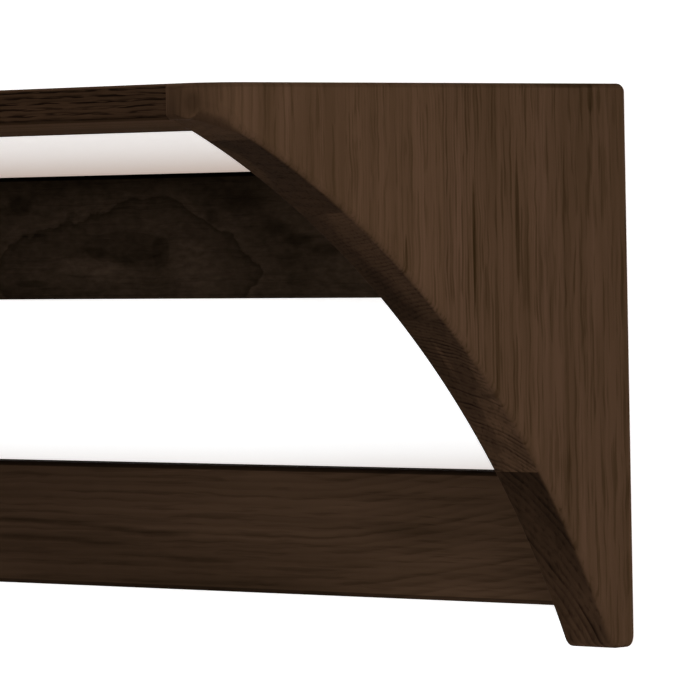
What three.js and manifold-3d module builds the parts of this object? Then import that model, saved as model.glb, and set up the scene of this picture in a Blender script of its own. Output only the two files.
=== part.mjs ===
// Wall luggage rack in solid oak: a shelf board between two arched side brackets, and two flat
// rails against the wall below it. It hangs on two keyhole plates in the back of the upper rail.
// Millimetres. +X runs along the wall, +Y goes into the wall and +Z is up. The origin is at the
// wall, in the middle of the upper rail's back face.

import * as THREE from 'three';
import { mergeVertices } from 'three/addons/utils/BufferGeometryUtils.js';
import Module from 'manifold-3d';

const wasm = await Module();
wasm.setup();

// Overall sizes
const rackWidth = 800; // over both brackets
const shelfDepth = 314; // from the wall to the front edge
const bracketHeight = 300;

// Side brackets: upright staves glued edge to edge, then sawn to the arch
const bracketThickness = 33;
const bracketStaveWidth = 73;
const archRadius = 555; // of the concave cut between the nose and the foot
const noseFlat = 4; // level stretch under the nose, in front of the arch
const noseRadius = 25; // of the nose's outer upright corner, seen from above
const footDepth = 16.5; // of the foot's underside, from the wall
const footRounding = 5; // of the foot's front corner
const topCornerRadius = 4; // of the top corner at the wall
const heelRadius = 3; // of the bottom corner at the wall

// Shelf board: long staves glued edge to edge
const shelfThickness = 18;
const shelfStaveCount = 4;

// Rails
const railHeight = 71;
const railThickness = 20;
const upperRailDrop = 42; // from the rack's top to the upper rail's top edge
const lowerRailRise = 22; // from the foot's underside up to the lower rail's bottom edge

// Dowels, half in the board and half in the bracket
const dowelDiameter = 8;
const dowelLength = 40;
const dowelChamfer = 1;
const dowelClearance = 0.3; // all round the dowel, and past each end of it
const railDowelSpacing = 40; // between the two dowels at the end of a rail

// Keyhole hanger plates, let into the back of the upper rail
const hangerInset = 60; // from the end of the rail to the middle of the plate
const plateHeight = 50;
const plateWidth = 17;
const plateThickness = 2;
const plateSetback = 0.2; // of the plate behind the rail's back face
const plateClearance = 0.3; // round the plate in its recess
const keyholeEntryDiameter = 10;
const keyholeSlotWidth = 5;
const keyholeTravel = 11; // from the middle of the entry to the middle of the slot's closed end
const headPocketDepth = 9; // room for the wall screw's head behind the plate
const headPocketMargin = 1; // of the head pocket round the keyhole

// Countersunk screws that hold the hanger plates
const plateScrewSpacing = 38;
const screwHeadDiameter = 7;
const screwHeadHeight = 1.8;
const screwHeadRim = 0.3; // upright rim of the head, above its cone
const screwShankDiameter = 3.5;
const screwLength = 16;
const screwPointLength = 3;
const screwClearance = 0.3;

// Faceting
const archSteps = 28;
const cornerSteps = 5;
const noseSteps = 10;
const dowelSides = 16;
const screwSides = 16;
const slotSteps = 8; // of each round end of a slot or plate
const cutMargin = 2; // how far cutting solids run past what they cut

// Worked out from the sizes above
const innerHalfWidth = rackWidth / 2 - bracketThickness;
const rackTop = upperRailDrop + railHeight / 2; // above the origin
const lowerRailDrop = bracketHeight - lowerRailRise - railHeight; // to the lower rail's top edge
const sides = [
	{ name: 'left', sign: -1 },
	{ name: 'right', sign: 1 },
];

const finishes = {
	bracketOak: new THREE.MeshStandardMaterial( { color: 0x4a3626, roughness: 0.62, metalness: 0 } ),
	shelfOak: new THREE.MeshStandardMaterial( { color: 0x3d2b20, roughness: 0.62, metalness: 0 } ),
	railOak: new THREE.MeshStandardMaterial( { color: 0x2a1e16, roughness: 0.66, metalness: 0 } ),
	beech: new THREE.MeshStandardMaterial( { color: 0xc9a36f, roughness: 0.75, metalness: 0 } ),
	zincPlate: new THREE.MeshStandardMaterial( { color: 0xb4b6b8, roughness: 0.4, metalness: 1 } ),
	screwSteel: new THREE.MeshStandardMaterial( { color: 0xc9b36a, roughness: 0.35, metalness: 1 } ),
};

// A three.js geometry as a solid that can be joined and cut
function solidOf( geometry ) {

	const bare = geometry.clone();
	bare.deleteAttribute( 'normal' );
	bare.deleteAttribute( 'uv' );
	const welded = mergeVertices( bare );
	return new wasm.Manifold( new wasm.Mesh( {
		numProp: 3,
		vertProperties: welded.attributes.position.array,
		triVerts: new Uint32Array( welded.index.array ),
	} ) );

}

// A solid back as a three.js geometry
function geometryOf( solid ) {

	const { vertProperties, triVerts } = solid.getMesh();
	const geometry = new THREE.BufferGeometry();
	geometry.setAttribute( 'position', new THREE.BufferAttribute( vertProperties, 3 ) );
	geometry.setIndex( new THREE.BufferAttribute( triVerts, 1 ) );
	geometry.computeVertexNormals();
	return geometry;

}

function meshOf( name, geometry, material ) {

	const mesh = new THREE.Mesh( geometry, material );
	mesh.name = name;
	return mesh;

}

// Points of a circle's arc, with the angles in radians
function arcPoints( centreX, centreY, radius, from, to, steps ) {

	return new THREE.EllipseCurve( centreX, centreY, radius, radius, from, to, to < from ).getPoints( steps );

}

// A flat outline made solid, to the given depth
function extruded( outline, depth ) {

	return new THREE.ExtrudeGeometry( new THREE.Shape( outline ), { depth, bevelEnabled: false } );

}

// An outline drawn as (forward from the wall, up), made solid from x to x + thickness
function sideExtrusion( outline, x, thickness ) {

	const geometry = extruded( outline, thickness );
	const forward = new THREE.Vector3( 0, - 1, 0 );
	const up = new THREE.Vector3( 0, 0, 1 );
	const towardsLeft = new THREE.Vector3( - 1, 0, 0 );
	geometry.applyMatrix4( new THREE.Matrix4().makeBasis( forward, up, towardsLeft ) );
	geometry.translate( x + thickness, 0, 0 );
	return geometry;

}

// An outline drawn as (along the wall, up), made solid from the back, y, forward to y - thickness
function frontExtrusion( outline, y, thickness ) {

	const geometry = extruded( outline, thickness );
	const right = new THREE.Vector3( 1, 0, 0 );
	const up = new THREE.Vector3( 0, 0, 1 );
	const forward = new THREE.Vector3( 0, - 1, 0 );
	geometry.applyMatrix4( new THREE.Matrix4().makeBasis( right, up, forward ) );
	geometry.translate( 0, y, 0 );
	return geometry;

}

// A block between two opposite corners
function block( low, high ) {

	const size = high.map( ( value, axis ) => value - low[ axis ] );
	const middle = high.map( ( value, axis ) => ( value + low[ axis ] ) / 2 );
	return new THREE.BoxGeometry( ...size ).translate( ...middle );

}

// The arch between the foot and the nose, as a circle that passes through both ends
function archCircle() {

	const nose = new THREE.Vector2( shelfDepth - noseFlat, - shelfThickness );
	const foot = new THREE.Vector2( footDepth, - bracketHeight );
	const chord = nose.clone().sub( foot );
	const outward = new THREE.Vector2( chord.y, - chord.x ).normalize();
	const reach = Math.sqrt( archRadius ** 2 - chord.lengthSq() / 4 );
	const centre = foot.clone().add( nose ).multiplyScalar( 0.5 ).addScaledVector( outward, reach );
	const angleOf = ( point ) => point.clone().sub( centre ).angle();
	return { centre, footAngle: angleOf( foot ), noseAngle: angleOf( nose ) };

}

// The bracket's outline, drawn as (forward from the wall, up from the rack's top)
function bracketOutline() {

	const { centre, footAngle, noseAngle } = archCircle();
	const arch = arcPoints(
		centre.x, centre.y, archRadius, footAngle - footRounding / archRadius, noseAngle, archSteps,
	);
	const foot = new THREE.QuadraticBezierCurve(
		new THREE.Vector2( footDepth - footRounding, - bracketHeight ),
		new THREE.Vector2( footDepth, - bracketHeight ),
		arch[ 0 ],
	).getPoints( cornerSteps );
	const heel = arcPoints(
		heelRadius, heelRadius - bracketHeight, heelRadius, Math.PI, 1.5 * Math.PI, cornerSteps,
	);
	const topCorner = arcPoints(
		topCornerRadius, - topCornerRadius, topCornerRadius, 0.5 * Math.PI, Math.PI, cornerSteps,
	);
	return [
		...heel,
		...foot,
		...arch.slice( 1 ),
		new THREE.Vector2( shelfDepth, - shelfThickness ),
		new THREE.Vector2( shelfDepth, 0 ),
		...topCorner,
	];

}

// What is cut away to round the nose's outer upright corner, on a bracket that reaches outward by sign
function noseCutter( sign ) {

	const centreX = sign * ( bracketThickness - noseRadius );
	const centreY = noseRadius - shelfDepth;
	const outside = sign * ( bracketThickness + cutMargin );
	const inFront = - shelfDepth - cutMargin;
	const round = arcPoints(
		centreX, centreY, noseRadius, sign > 0 ? 0 : - Math.PI, - Math.PI / 2, noseSteps,
	);
	const outline = [
		new THREE.Vector2( outside, centreY ),
		...round,
		new THREE.Vector2( centreX, inFront ),
		new THREE.Vector2( outside, inFront ),
	];
	const height = bracketHeight + 2 * cutMargin;
	return extruded( outline, height ).translate( 0, 0, cutMargin - height );

}

// Every dowel of the rack, in the rack's frame: its name and the middle of its length
function dowelPlaces() {

	const places = [];
	for ( const { name, sign } of sides ) {

		const x = sign * innerHalfWidth;
		for ( let i = 0; i < shelfStaveCount; i ++ ) {

			const y = - shelfDepth * ( i + 0.5 ) / shelfStaveCount;
			places.push( { name: `shelf_dowel_${ name }_${ i + 1 }`, x, y, z: - shelfThickness / 2 } );

		}

		for ( const [ rail, drop ] of [ [ 'upper', upperRailDrop ], [ 'lower', lowerRailDrop ] ] ) {

			for ( const [ row, offset ] of [ [ 'top', 0.5 ], [ 'bottom', - 0.5 ] ] ) {

				const z = - drop - railHeight / 2 + offset * railDowelSpacing;
				places.push( { name: `${ rail }_rail_dowel_${ name }_${ row }`, x, y: - railThickness / 2, z } );

			}

		}

	}

	return places;

}

// A dowel, lying along X and chamfered at both ends
function dowelGeometry() {

	const radius = dowelDiameter / 2;
	const half = dowelLength / 2;
	const profile = [
		new THREE.Vector2( 0, - half ),
		new THREE.Vector2( radius - dowelChamfer, - half ),
		new THREE.Vector2( radius, dowelChamfer - half ),
		new THREE.Vector2( radius, half - dowelChamfer ),
		new THREE.Vector2( radius - dowelChamfer, half ),
		new THREE.Vector2( 0, half ),
	];
	return new THREE.LatheGeometry( profile, dowelSides ).rotateZ( Math.PI / 2 );

}

// The bore that a dowel sits in, in the board and the bracket alike
function dowelBore( { x, y, z } ) {

	const radius = dowelDiameter / 2 + dowelClearance;
	const length = dowelLength + 2 * dowelClearance;
	const bore = new THREE.LatheGeometry( [
		new THREE.Vector2( 0, - length / 2 ),
		new THREE.Vector2( radius, - length / 2 ),
		new THREE.Vector2( radius, length / 2 ),
		new THREE.Vector2( 0, length / 2 ),
	], dowelSides );
	return solidOf( bore.rotateZ( Math.PI / 2 ).translate( x, y, z ) );

}

function boredForDowels( solid, dowels ) {

	return dowels.reduce( ( wood, dowel ) => wood.subtract( dowelBore( dowel ) ), solid );

}

// One bracket, its staves numbered from the wall to the nose
function bracket( { name, sign }, dowels ) {

	const inner = sign * innerHalfWidth;
	const left = Math.min( 0, sign * bracketThickness );
	const sawn = solidOf( sideExtrusion( bracketOutline(), left, bracketThickness ) );
	const shaped = sawn.subtract( solidOf( noseCutter( sign ) ) );
	const own = dowels.map( ( dowel ) => ( { ...dowel, x: dowel.x - inner } ) )
		.filter( ( dowel ) => Math.abs( dowel.x ) < dowelLength );
	const panel = boredForDowels( shaped, own );

	const group = new THREE.Group();
	group.position.x = inner;
	const staveCount = Math.ceil( shelfDepth / bracketStaveWidth );
	for ( let i = 0; i < staveCount; i ++ ) {

		const back = i === 0 ? cutMargin : - i * bracketStaveWidth;
		const front = i === staveCount - 1 ? - shelfDepth - cutMargin : - ( i + 1 ) * bracketStaveWidth;
		const slab = block(
			[ left - cutMargin, front, - bracketHeight - cutMargin ],
			[ left + bracketThickness + cutMargin, back, cutMargin ],
		);
		const stave = panel.intersect( solidOf( slab ) );
		group.add( meshOf( `${ name }_bracket_stave_${ i + 1 }`, geometryOf( stave ), finishes.bracketOak ) );

	}

	return group;

}

// The shelf board, its staves numbered from the wall to the front edge
function shelf( dowels ) {

	const group = new THREE.Group();
	for ( let i = 0; i < shelfStaveCount; i ++ ) {

		const back = - shelfDepth * i / shelfStaveCount;
		const front = - shelfDepth * ( i + 1 ) / shelfStaveCount;
		const stave = boredForDowels( solidOf( block(
			[ - innerHalfWidth, front, - shelfThickness ],
			[ innerHalfWidth, back, 0 ],
		) ), dowels );
		group.add( meshOf( `shelf_stave_${ i + 1 }`, geometryOf( stave ), finishes.shelfOak ) );

	}

	return group;

}

// A rail's bored board, drop below the rack's top
function railBoard( drop, dowels ) {

	return boredForDowels( solidOf( block(
		[ - innerHalfWidth, - railThickness, - drop - railHeight ],
		[ innerHalfWidth, 0, - drop ],
	) ), dowels );

}

// An upright slot with round ends, between two heights, made solid from the back, y, forward
function slotSolid( { x, low, high, radius, y, depth } ) {

	const outline = [
		...arcPoints( x, high, radius, 0, Math.PI, slotSteps ),
		...arcPoints( x, low, radius, Math.PI, 2 * Math.PI, slotSteps ),
	];
	return solidOf( frontExtrusion( outline, y, depth ) );

}

// A hanger plate's outline grown by margin, made solid from y forward
function plateSolid( { x, z }, margin, y, depth ) {

	const reach = ( plateHeight - plateWidth ) / 2;
	return slotSolid( { x, low: z - reach, high: z + reach, radius: plateWidth / 2 + margin, y, depth } );

}

// The keyhole through a plate: a round entry below, and a narrower slot up from its middle
function keyholeSolid( { x, z } ) {

	const y = cutMargin;
	const depth = plateSetback + plateThickness + 2 * cutMargin;
	const low = z - keyholeTravel / 2;
	const high = z + keyholeTravel / 2;
	const radius = keyholeEntryDiameter / 2;
	const entry = new THREE.CylinderGeometry( radius, radius, depth, 2 * slotSteps );
	entry.translate( x, y - depth / 2, low );
	return solidOf( entry ).add( slotSolid( { x, low, high, radius: keyholeSlotWidth / 2, y, depth } ) );

}

// Room behind the keyhole for the wall screw's head, all along its travel
function headPocketSolid( { x, z } ) {

	return slotSolid( {
		x,
		low: z - keyholeTravel / 2,
		high: z + keyholeTravel / 2,
		radius: keyholeEntryDiameter / 2 + headPocketMargin,
		y: cutMargin,
		depth: cutMargin + plateSetback + plateThickness + headPocketDepth,
	} );

}

// A countersunk screw turned about Y, pointing forward from its head's face at y = 0. It can be
// grown by margin all round, and its head carried back to y = raise
function screwGeometry( margin, raise ) {

	const head = screwHeadDiameter / 2 + margin;
	const shank = screwShankDiameter / 2 + margin;
	return new THREE.LatheGeometry( [
		new THREE.Vector2( 0, - screwLength - margin ),
		new THREE.Vector2( shank, screwPointLength - screwLength ),
		new THREE.Vector2( shank, - screwHeadHeight ),
		new THREE.Vector2( head, - screwHeadRim ),
		new THREE.Vector2( head, raise ),
		new THREE.Vector2( 0, raise ),
	], screwSides );

}

function screwHole( { x, z } ) {

	return solidOf( screwGeometry( screwClearance, cutMargin ).translate( x, - plateSetback, z ) );

}

// Both rails, with the hanger plates and their screws at the upper one's back
function rails( dowels ) {

	const group = new THREE.Group();
	const z = - upperRailDrop - railHeight / 2;
	const recessDepth = cutMargin + plateSetback + plateThickness;
	let upper = railBoard( upperRailDrop, dowels );
	for ( const { name, sign } of sides ) {

		const place = { x: sign * ( innerHalfWidth - hangerInset ), z };
		const screws = [ { row: 'bottom', offset: - 0.5 }, { row: 'top', offset: 0.5 } ]
			.map( ( { row, offset } ) => ( { row, x: place.x, z: z + offset * plateScrewSpacing } ) );
		upper = upper.subtract( plateSolid( place, plateClearance, cutMargin, recessDepth ) );
		upper = upper.subtract( headPocketSolid( place ) );
		let plate = plateSolid( place, 0, - plateSetback, plateThickness ).subtract( keyholeSolid( place ) );
		for ( const screw of screws ) {

			upper = upper.subtract( screwHole( screw ) );
			plate = plate.subtract( screwHole( screw ) );
			const screwName = `hanger_screw_${ name }_${ screw.row }`;
			const mesh = meshOf( screwName, screwGeometry( 0, 0 ), finishes.screwSteel );
			mesh.position.set( screw.x, - plateSetback, screw.z );
			group.add( mesh );

		}

		group.add( meshOf( `hanger_plate_${ name }`, geometryOf( plate ), finishes.zincPlate ) );

	}

	group.add( meshOf( 'upper_rail', geometryOf( upper ), finishes.railOak ) );
	group.add( meshOf( 'lower_rail', geometryOf( railBoard( lowerRailDrop, dowels ) ), finishes.railOak ) );
	return group;

}

const dowels = dowelPlaces();
const rack = new THREE.Group();
rack.position.z = rackTop;
rack.add( shelf( dowels ), rails( dowels ) );
for ( const side of sides ) rack.add( bracket( side, dowels ) );
for ( const { name, x, y, z } of dowels ) {

	const dowel = meshOf( name, dowelGeometry(), finishes.beech );
	dowel.position.set( x, y, z );
	rack.add( dowel );

}

export default rack;
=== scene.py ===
import math
from typing import NamedTuple

import bmesh
import bpy
import numpy as np
from mathutils import Matrix, Vector


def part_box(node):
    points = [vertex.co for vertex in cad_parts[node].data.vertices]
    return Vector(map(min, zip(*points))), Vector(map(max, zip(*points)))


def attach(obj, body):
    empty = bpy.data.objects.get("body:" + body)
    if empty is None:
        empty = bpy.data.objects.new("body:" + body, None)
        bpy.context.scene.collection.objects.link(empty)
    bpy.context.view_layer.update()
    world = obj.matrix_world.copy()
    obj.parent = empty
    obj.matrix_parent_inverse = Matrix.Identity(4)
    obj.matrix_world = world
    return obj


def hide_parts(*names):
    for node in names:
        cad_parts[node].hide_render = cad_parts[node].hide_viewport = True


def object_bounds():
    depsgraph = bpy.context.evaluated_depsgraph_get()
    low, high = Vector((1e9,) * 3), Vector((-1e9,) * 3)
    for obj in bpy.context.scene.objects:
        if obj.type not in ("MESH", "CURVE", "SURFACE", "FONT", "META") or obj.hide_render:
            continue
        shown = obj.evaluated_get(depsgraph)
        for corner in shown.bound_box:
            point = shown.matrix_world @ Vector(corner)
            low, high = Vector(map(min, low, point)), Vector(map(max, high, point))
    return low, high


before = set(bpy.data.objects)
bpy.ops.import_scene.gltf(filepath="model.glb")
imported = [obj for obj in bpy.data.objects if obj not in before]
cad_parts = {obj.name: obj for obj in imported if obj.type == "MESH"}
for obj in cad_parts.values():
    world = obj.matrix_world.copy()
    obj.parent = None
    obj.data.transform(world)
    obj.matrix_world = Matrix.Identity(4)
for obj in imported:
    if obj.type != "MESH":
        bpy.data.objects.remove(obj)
cad_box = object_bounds()

bl_info = {
    "name": "Wall luggage rack",
    "version": (1, 0, 0),
    "blender": (4, 5, 0),
    "location": "3D Viewport > Sidebar > Rack",
    "description": "A dark-stained oak luggage rack for a wall, with its studio",
    "category": "Add Mesh",
}

SIDES = {"left": -1, "right": 1}
RACK_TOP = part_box("shelf_stave_1")[1].z
SHELF_THICKNESS = RACK_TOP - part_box("shelf_stave_1")[0].z
RACK_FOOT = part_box("right_bracket_stave_1")[0].z
RACK_DEPTH = -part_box("right_bracket_stave_5")[0].y
INNER_HALF_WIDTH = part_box("upper_rail")[1].x
BRACKET_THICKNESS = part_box("right_bracket_stave_1")[1].x - INNER_HALF_WIDTH

SUPPORT = 0.0005  # from the end of a rounding to the loop that keeps the flat face flat
LEAST_STEP = SUPPORT / 5  # between two sections of a board
LEAST_ROUNDING = SUPPORT / 10  # of an edge that is left sharp
POINT_RADIUS = SUPPORT / 5  # of a point, so that it still closes with a real face
SHARP_ANGLE = math.radians(32)  # edges that turn more than this stay crisp
ROUNDING_STEPS = 6  # faces round each edge
ARCH_STATIONS = 48
CORNER_STATIONS = 10  # round the foot's front corner
HEEL_STATIONS = 8
NOSE_STATIONS = 15
END_STATIONS = 7  # where a board's end is rounded

WALL_ARRIS_SHARE = 0.45  # the edges at the wall are less rounded than the others
INNER_ARRIS_SHARE = 0.5  # so is the arch's inner edge
STEEPEST = 3  # how many times longer upwards than across a rounding may get on a slope
WIDEST_ARRIS = 0.7  # the most that a rounding takes of the bracket's thickness
NOSE_SWELL = (0.024, 0.012, 0.004, 0.001)  # how far behind the front it grows and fades again
RIM_START = 0.9  # sine of a rounding's slope where the finish of the sawn edges starts
RIM_FADE = 0.1  # how much more slope it takes until it is whole
NOSE_RIM_RISE = 0.28  # how much earlier it starts on the swollen arris
TOP_RIM = 0.3  # how much the brackets' top edges take of that finish
# How much the roundings on a board's four edges are darkened, in the order that rounded_sections
# gives
BRACKET_EDGE_DARKENING = (0.25, 1.0, 0.0, 0.25)
SHELF_EDGE_DARKENING = (0.5, 0.0, 0.0, 1.0)
# The rails' roundings: painted shade along the top edges, under the shelf, and along the lower front
# edge
RAIL_PAINTED_EDGE_SHADE = {"upper_rail": (0.0, 1.0, 1.0, 0.35), "lower_rail": (0.0, 1.0, 1.0, 0.75)}

CUT_MARGIN = 0.002  # how far cutting solids run past what they cut
BORE_SIDES = 24
DOWEL_CLEARANCE = 0.0003  # all round the dowels
PLATE_ARRIS = 0.0003
PLATE_ARRIS_STATIONS = 5
PLATE_CLEARANCE = 0.0003  # round the hanger plates in their recesses
HEAD_POCKET_RADIUS = 0.006
HEAD_POCKET_DEPTH = 0.009  # room behind a plate for the wall screw's head
KEYHOLE_TRAVEL = 0.011
KEYHOLE_ENTRY = 0.010  # diameter
KEYHOLE_SLOT = 0.005
ENTRY_SIDES = 40
SLOT_SIDES = 48
SUNK_SIDES = 32
SUNK_WALL = 0.0003  # straight part of a sunk hole, above its cone

SCREW_SIDES = 48
SCREW_SHANK = 0.0035  # diameter
SCREW_HEAD = 0.0018  # height of the countersunk head
HEAD_STATIONS = 26  # from the middle of the head to its edge
HEAD_EDGE = 0.0002  # broken edge of the head
SHANK_STATIONS = 110
SHANK_NECK = 0.0003  # from the head to the first turn of the thread
SCREW_POINT = 0.003
SCREW_BLUNTNESS = 0.03  # the point's radius against the shank's
SCREW_PITCH = 0.0014
SCREW_THREAD = 0.28  # depth of the thread, against the shank's radius
THREAD_SHARPNESS = 4  # how many times thinner than the pitch half a ridge is
SCREW_CLEARANCE = 0.0003
CROSS_WIDTH = 0.0012
CROSS_REACH = 0.002
CROSS_DEPTH = 0.0012
CROSS_SIDE_SLOPE = 0.0002  # over which the recess falls to its depth
CROSS_END_SLOPE = 0.0004


# ---------------------------------------------------------------- settings

class RackSizes(bpy.types.PropertyGroup):
    """Sizes of the rack that aren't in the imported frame's boxes"""

    arch_radius: bpy.props.FloatProperty(
        name="Arch radius", description="Radius of the concave cut in each bracket",
        default=0.555, unit="LENGTH")
    nose_flat: bpy.props.FloatProperty(
        name="Nose flat", description="Level stretch under the nose, in front of the arch",
        default=0.004, unit="LENGTH")
    nose_radius: bpy.props.FloatProperty(
        name="Nose radius", description="Rounding of the nose's outer upright corner",
        default=0.025, unit="LENGTH")
    foot_depth: bpy.props.FloatProperty(
        name="Foot depth", description="Depth of the foot's underside from the wall",
        default=0.0165, unit="LENGTH")
    foot_rounding: bpy.props.FloatProperty(
        name="Foot rounding", description="Rounding of the foot's front corner",
        default=0.005, unit="LENGTH")
    top_corner: bpy.props.FloatProperty(
        name="Top corner", description="Rounding of the bracket's top corner at the wall",
        default=0.004, unit="LENGTH")
    heel: bpy.props.FloatProperty(
        name="Heel", description="Rounding of the bracket's bottom corner at the wall",
        default=0.003, unit="LENGTH")
    bracket_arris: bpy.props.FloatProperty(
        name="Bracket arris", description="Rounding along the bracket's top and front edges",
        default=0.0022, unit="LENGTH")
    arch_arris: bpy.props.FloatProperty(
        name="Arch arris", description="Rounding along the outer edge of the arch",
        default=0.0034, unit="LENGTH")
    nose_arris: bpy.props.FloatProperty(
        name="Nose arris", description="What the arch's rounding grows to under the nose",
        default=0.0085, unit="LENGTH")
    shelf_arris: bpy.props.FloatProperty(
        name="Shelf arris", description="Rounding along the shelf's front edge",
        default=0.0018, unit="LENGTH")
    rail_arris: bpy.props.FloatProperty(
        name="Rail arris", description="Rounding along the rails' long edges",
        default=0.0022, unit="LENGTH")


class RackFinish(bpy.types.PropertyGroup):
    """Colours of the rack's woods and metals"""

    bracket_stain: bpy.props.FloatVectorProperty(
        name="Bracket stain", description="Mean colour of the stained brackets",
        subtype="COLOR", size=3, min=0, max=1, default=(0.0715, 0.0388, 0.0212))
    shelf_stain: bpy.props.FloatVectorProperty(
        name="Shelf stain", description="Mean colour of the stained shelf",
        subtype="COLOR", size=3, min=0, max=1, default=(0.066, 0.0352, 0.0190))
    upper_rail_stain: bpy.props.FloatVectorProperty(
        name="Upper rail stain", description="Mean colour of the stained upper rail",
        subtype="COLOR", size=3, min=0, max=1, default=(0.0438, 0.0283, 0.0175))
    lower_rail_stain: bpy.props.FloatVectorProperty(
        name="Lower rail stain", description="Mean colour of the stained lower rail",
        subtype="COLOR", size=3, min=0, max=1, default=(0.0700, 0.0398, 0.0228))
    beech: bpy.props.FloatVectorProperty(
        name="Beech", description="Colour of the dowels",
        subtype="COLOR", size=3, min=0, max=1, default=(0.58, 0.37, 0.17))
    zinc: bpy.props.FloatVectorProperty(
        name="Zinc", description="Colour of the hanger plates",
        subtype="COLOR", size=3, min=0, max=1, default=(0.52, 0.53, 0.55))
    screw_steel: bpy.props.FloatVectorProperty(
        name="Screw steel", description="Colour of the yellow-passivated screws",
        subtype="COLOR", size=3, min=0, max=1, default=(0.60, 0.46, 0.20))


class RackStudio(bpy.types.PropertyGroup):
    """Camera and light"""

    azimuth: bpy.props.FloatProperty(
        name="Azimuth", description="How far the camera stands round to the right",
        default=math.radians(42.810), unit="ROTATION")
    elevation: bpy.props.FloatProperty(
        name="Elevation", description="How far the camera stands above the horizon",
        default=math.radians(1.385), unit="ROTATION")
    roll: bpy.props.FloatProperty(
        name="Roll", description="Turn of the camera about its own axis",
        default=math.radians(-1.089), unit="ROTATION")
    distance: bpy.props.FloatProperty(
        name="Distance", description="From the camera to what it is aimed at",
        default=2.992, unit="LENGTH")
    lens: bpy.props.FloatProperty(
        name="Lens", description="Focal length, in millimetres", default=301.87,
        unit="CAMERA")
    sky: bpy.props.FloatProperty(
        name="Sky", description="Strength of the light from all round", default=0.19)
    key: bpy.props.FloatProperty(
        name="Key lamp", description="Power of the large soft lamp on the right", default=129.0,
        unit="POWER")
    fill: bpy.props.FloatProperty(
        name="Fill lamp", description="Power of the large soft lamp in front", default=16.0,
        unit="POWER")
    top: bpy.props.FloatProperty(
        name="Top lamp", description="Power of the soft lamp above the left end", default=64.0,
        unit="POWER")
    floor_drop: bpy.props.FloatProperty(
        name="Floor drop", description="From the bracket's foot down to the floor",
        default=1.1, unit="LENGTH")


# ---------------------------------------------------------------- meshes

def rounded_sections(
        u_low, u_high, v_low, v_high, radii, edge_darkening, rims=(1, 1, 1, 1), rim_start=RIM_START):
    """Rounded rectangles in (u, v), one for each section, as whole arrays.

    Each corner is a quarter ellipse: its centre, plus its two radii times the cosine and sine of
    an angle that runs a quarter turn. One support point follows on the flat at each of its ends.
    radii holds a pair (along u, along v) for each corner, and edge_darkening how much its rounding is
    darkened, in anticlockwise order from (high u, low v). Gives the points, and for each point how
    far it belongs to a side that faces along v (rim) and how much the rounding it is on is darkened
    (arris). On a rounding the rim starts where the sine of its slope passes rim_start, and it
    counts as much as rims says there.
    """
    sections = len(np.atleast_1d(u_low))
    spread = np.ones(sections)
    corners = [(1, -1), (1, 1), (-1, 1), (-1, -1)]
    quarter = np.linspace(0, math.pi / 2, ROUNDING_STEPS + 1)
    outlines, rim_parts, marked = [], [], []
    for index, ((u_side, v_side), (u_radius, v_radius)) in enumerate(zip(corners, radii)):
        u_edge = (u_high if u_side > 0 else u_low) * spread
        v_edge = (v_high if v_side > 0 else v_low) * spread
        u_radius = u_radius * spread
        v_radius = v_radius * spread
        angle = (index - 1) * math.pi / 2 + quarter
        cos, sin = np.cos(angle), np.sin(angle)
        along_u = (u_edge - u_side * u_radius)[:, None] + u_radius[:, None] * cos
        along_v = (v_edge - v_side * v_radius)[:, None] + v_radius[:, None] * sin
        start = np.array([-sin[0], cos[0]]) * SUPPORT
        end = np.array([-sin[-1], cos[-1]]) * SUPPORT
        u = np.column_stack([along_u[:, 0] - start[0], along_u, along_u[:, -1] + end[0]])
        v = np.column_stack([along_v[:, 0] - start[1], along_v, along_v[:, -1] + end[1]])
        outlines.append(np.stack([u, v], axis=2))
        rim = np.clip((np.abs(sin) - (rim_start * spread)[:, None]) / RIM_FADE, 0, 1) * rims[index]
        rim_parts.append(np.column_stack([rim[:, 0], rim, rim[:, -1]]))
        flat = np.full((sections, ROUNDING_STEPS + 1), edge_darkening[index])
        marked.append(np.pad(flat, ((0, 0), (1, 1))))
    return [np.concatenate(parts, axis=1) for parts in (outlines, rim_parts, marked)]


def add_piece(name, points, faces, attributes=None):
    """A mesh object from arrays, facing outwards, smooth except where it turns sharply."""
    mesh = bpy.data.meshes.new(name)
    mesh.from_pydata(points.tolist(), [], faces)
    for label, values in (attributes or {}).items():
        layer = mesh.attributes.new(label, "FLOAT", "POINT")
        layer.data.foreach_set("value", np.ascontiguousarray(values, dtype=np.float32))
    shell = bmesh.new()
    shell.from_mesh(mesh)
    bmesh.ops.recalc_face_normals(shell, faces=shell.faces)
    shell.to_mesh(mesh)
    shell.free()
    mesh.shade_smooth()
    mesh.set_sharp_from_angle(angle=SHARP_ANGLE)
    piece = bpy.data.objects.new(name, mesh)
    bpy.context.scene.collection.objects.link(piece)
    return piece


def loft_faces(sections, around):
    """Faces of a closed tube of sections: quads between neighbours, and a flat cap at each end."""
    row = np.arange(sections - 1)[:, None] * around
    here = np.arange(around)[None, :]
    after = (here + 1) % around
    quads = np.stack([row + here, row + after, row + around + after, row + around + here], axis=2)
    first = list(range(around))
    last = [(sections - 1) * around + index for index in first]
    return quads.reshape(-1, 4).tolist() + [first[::-1], last]


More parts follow.
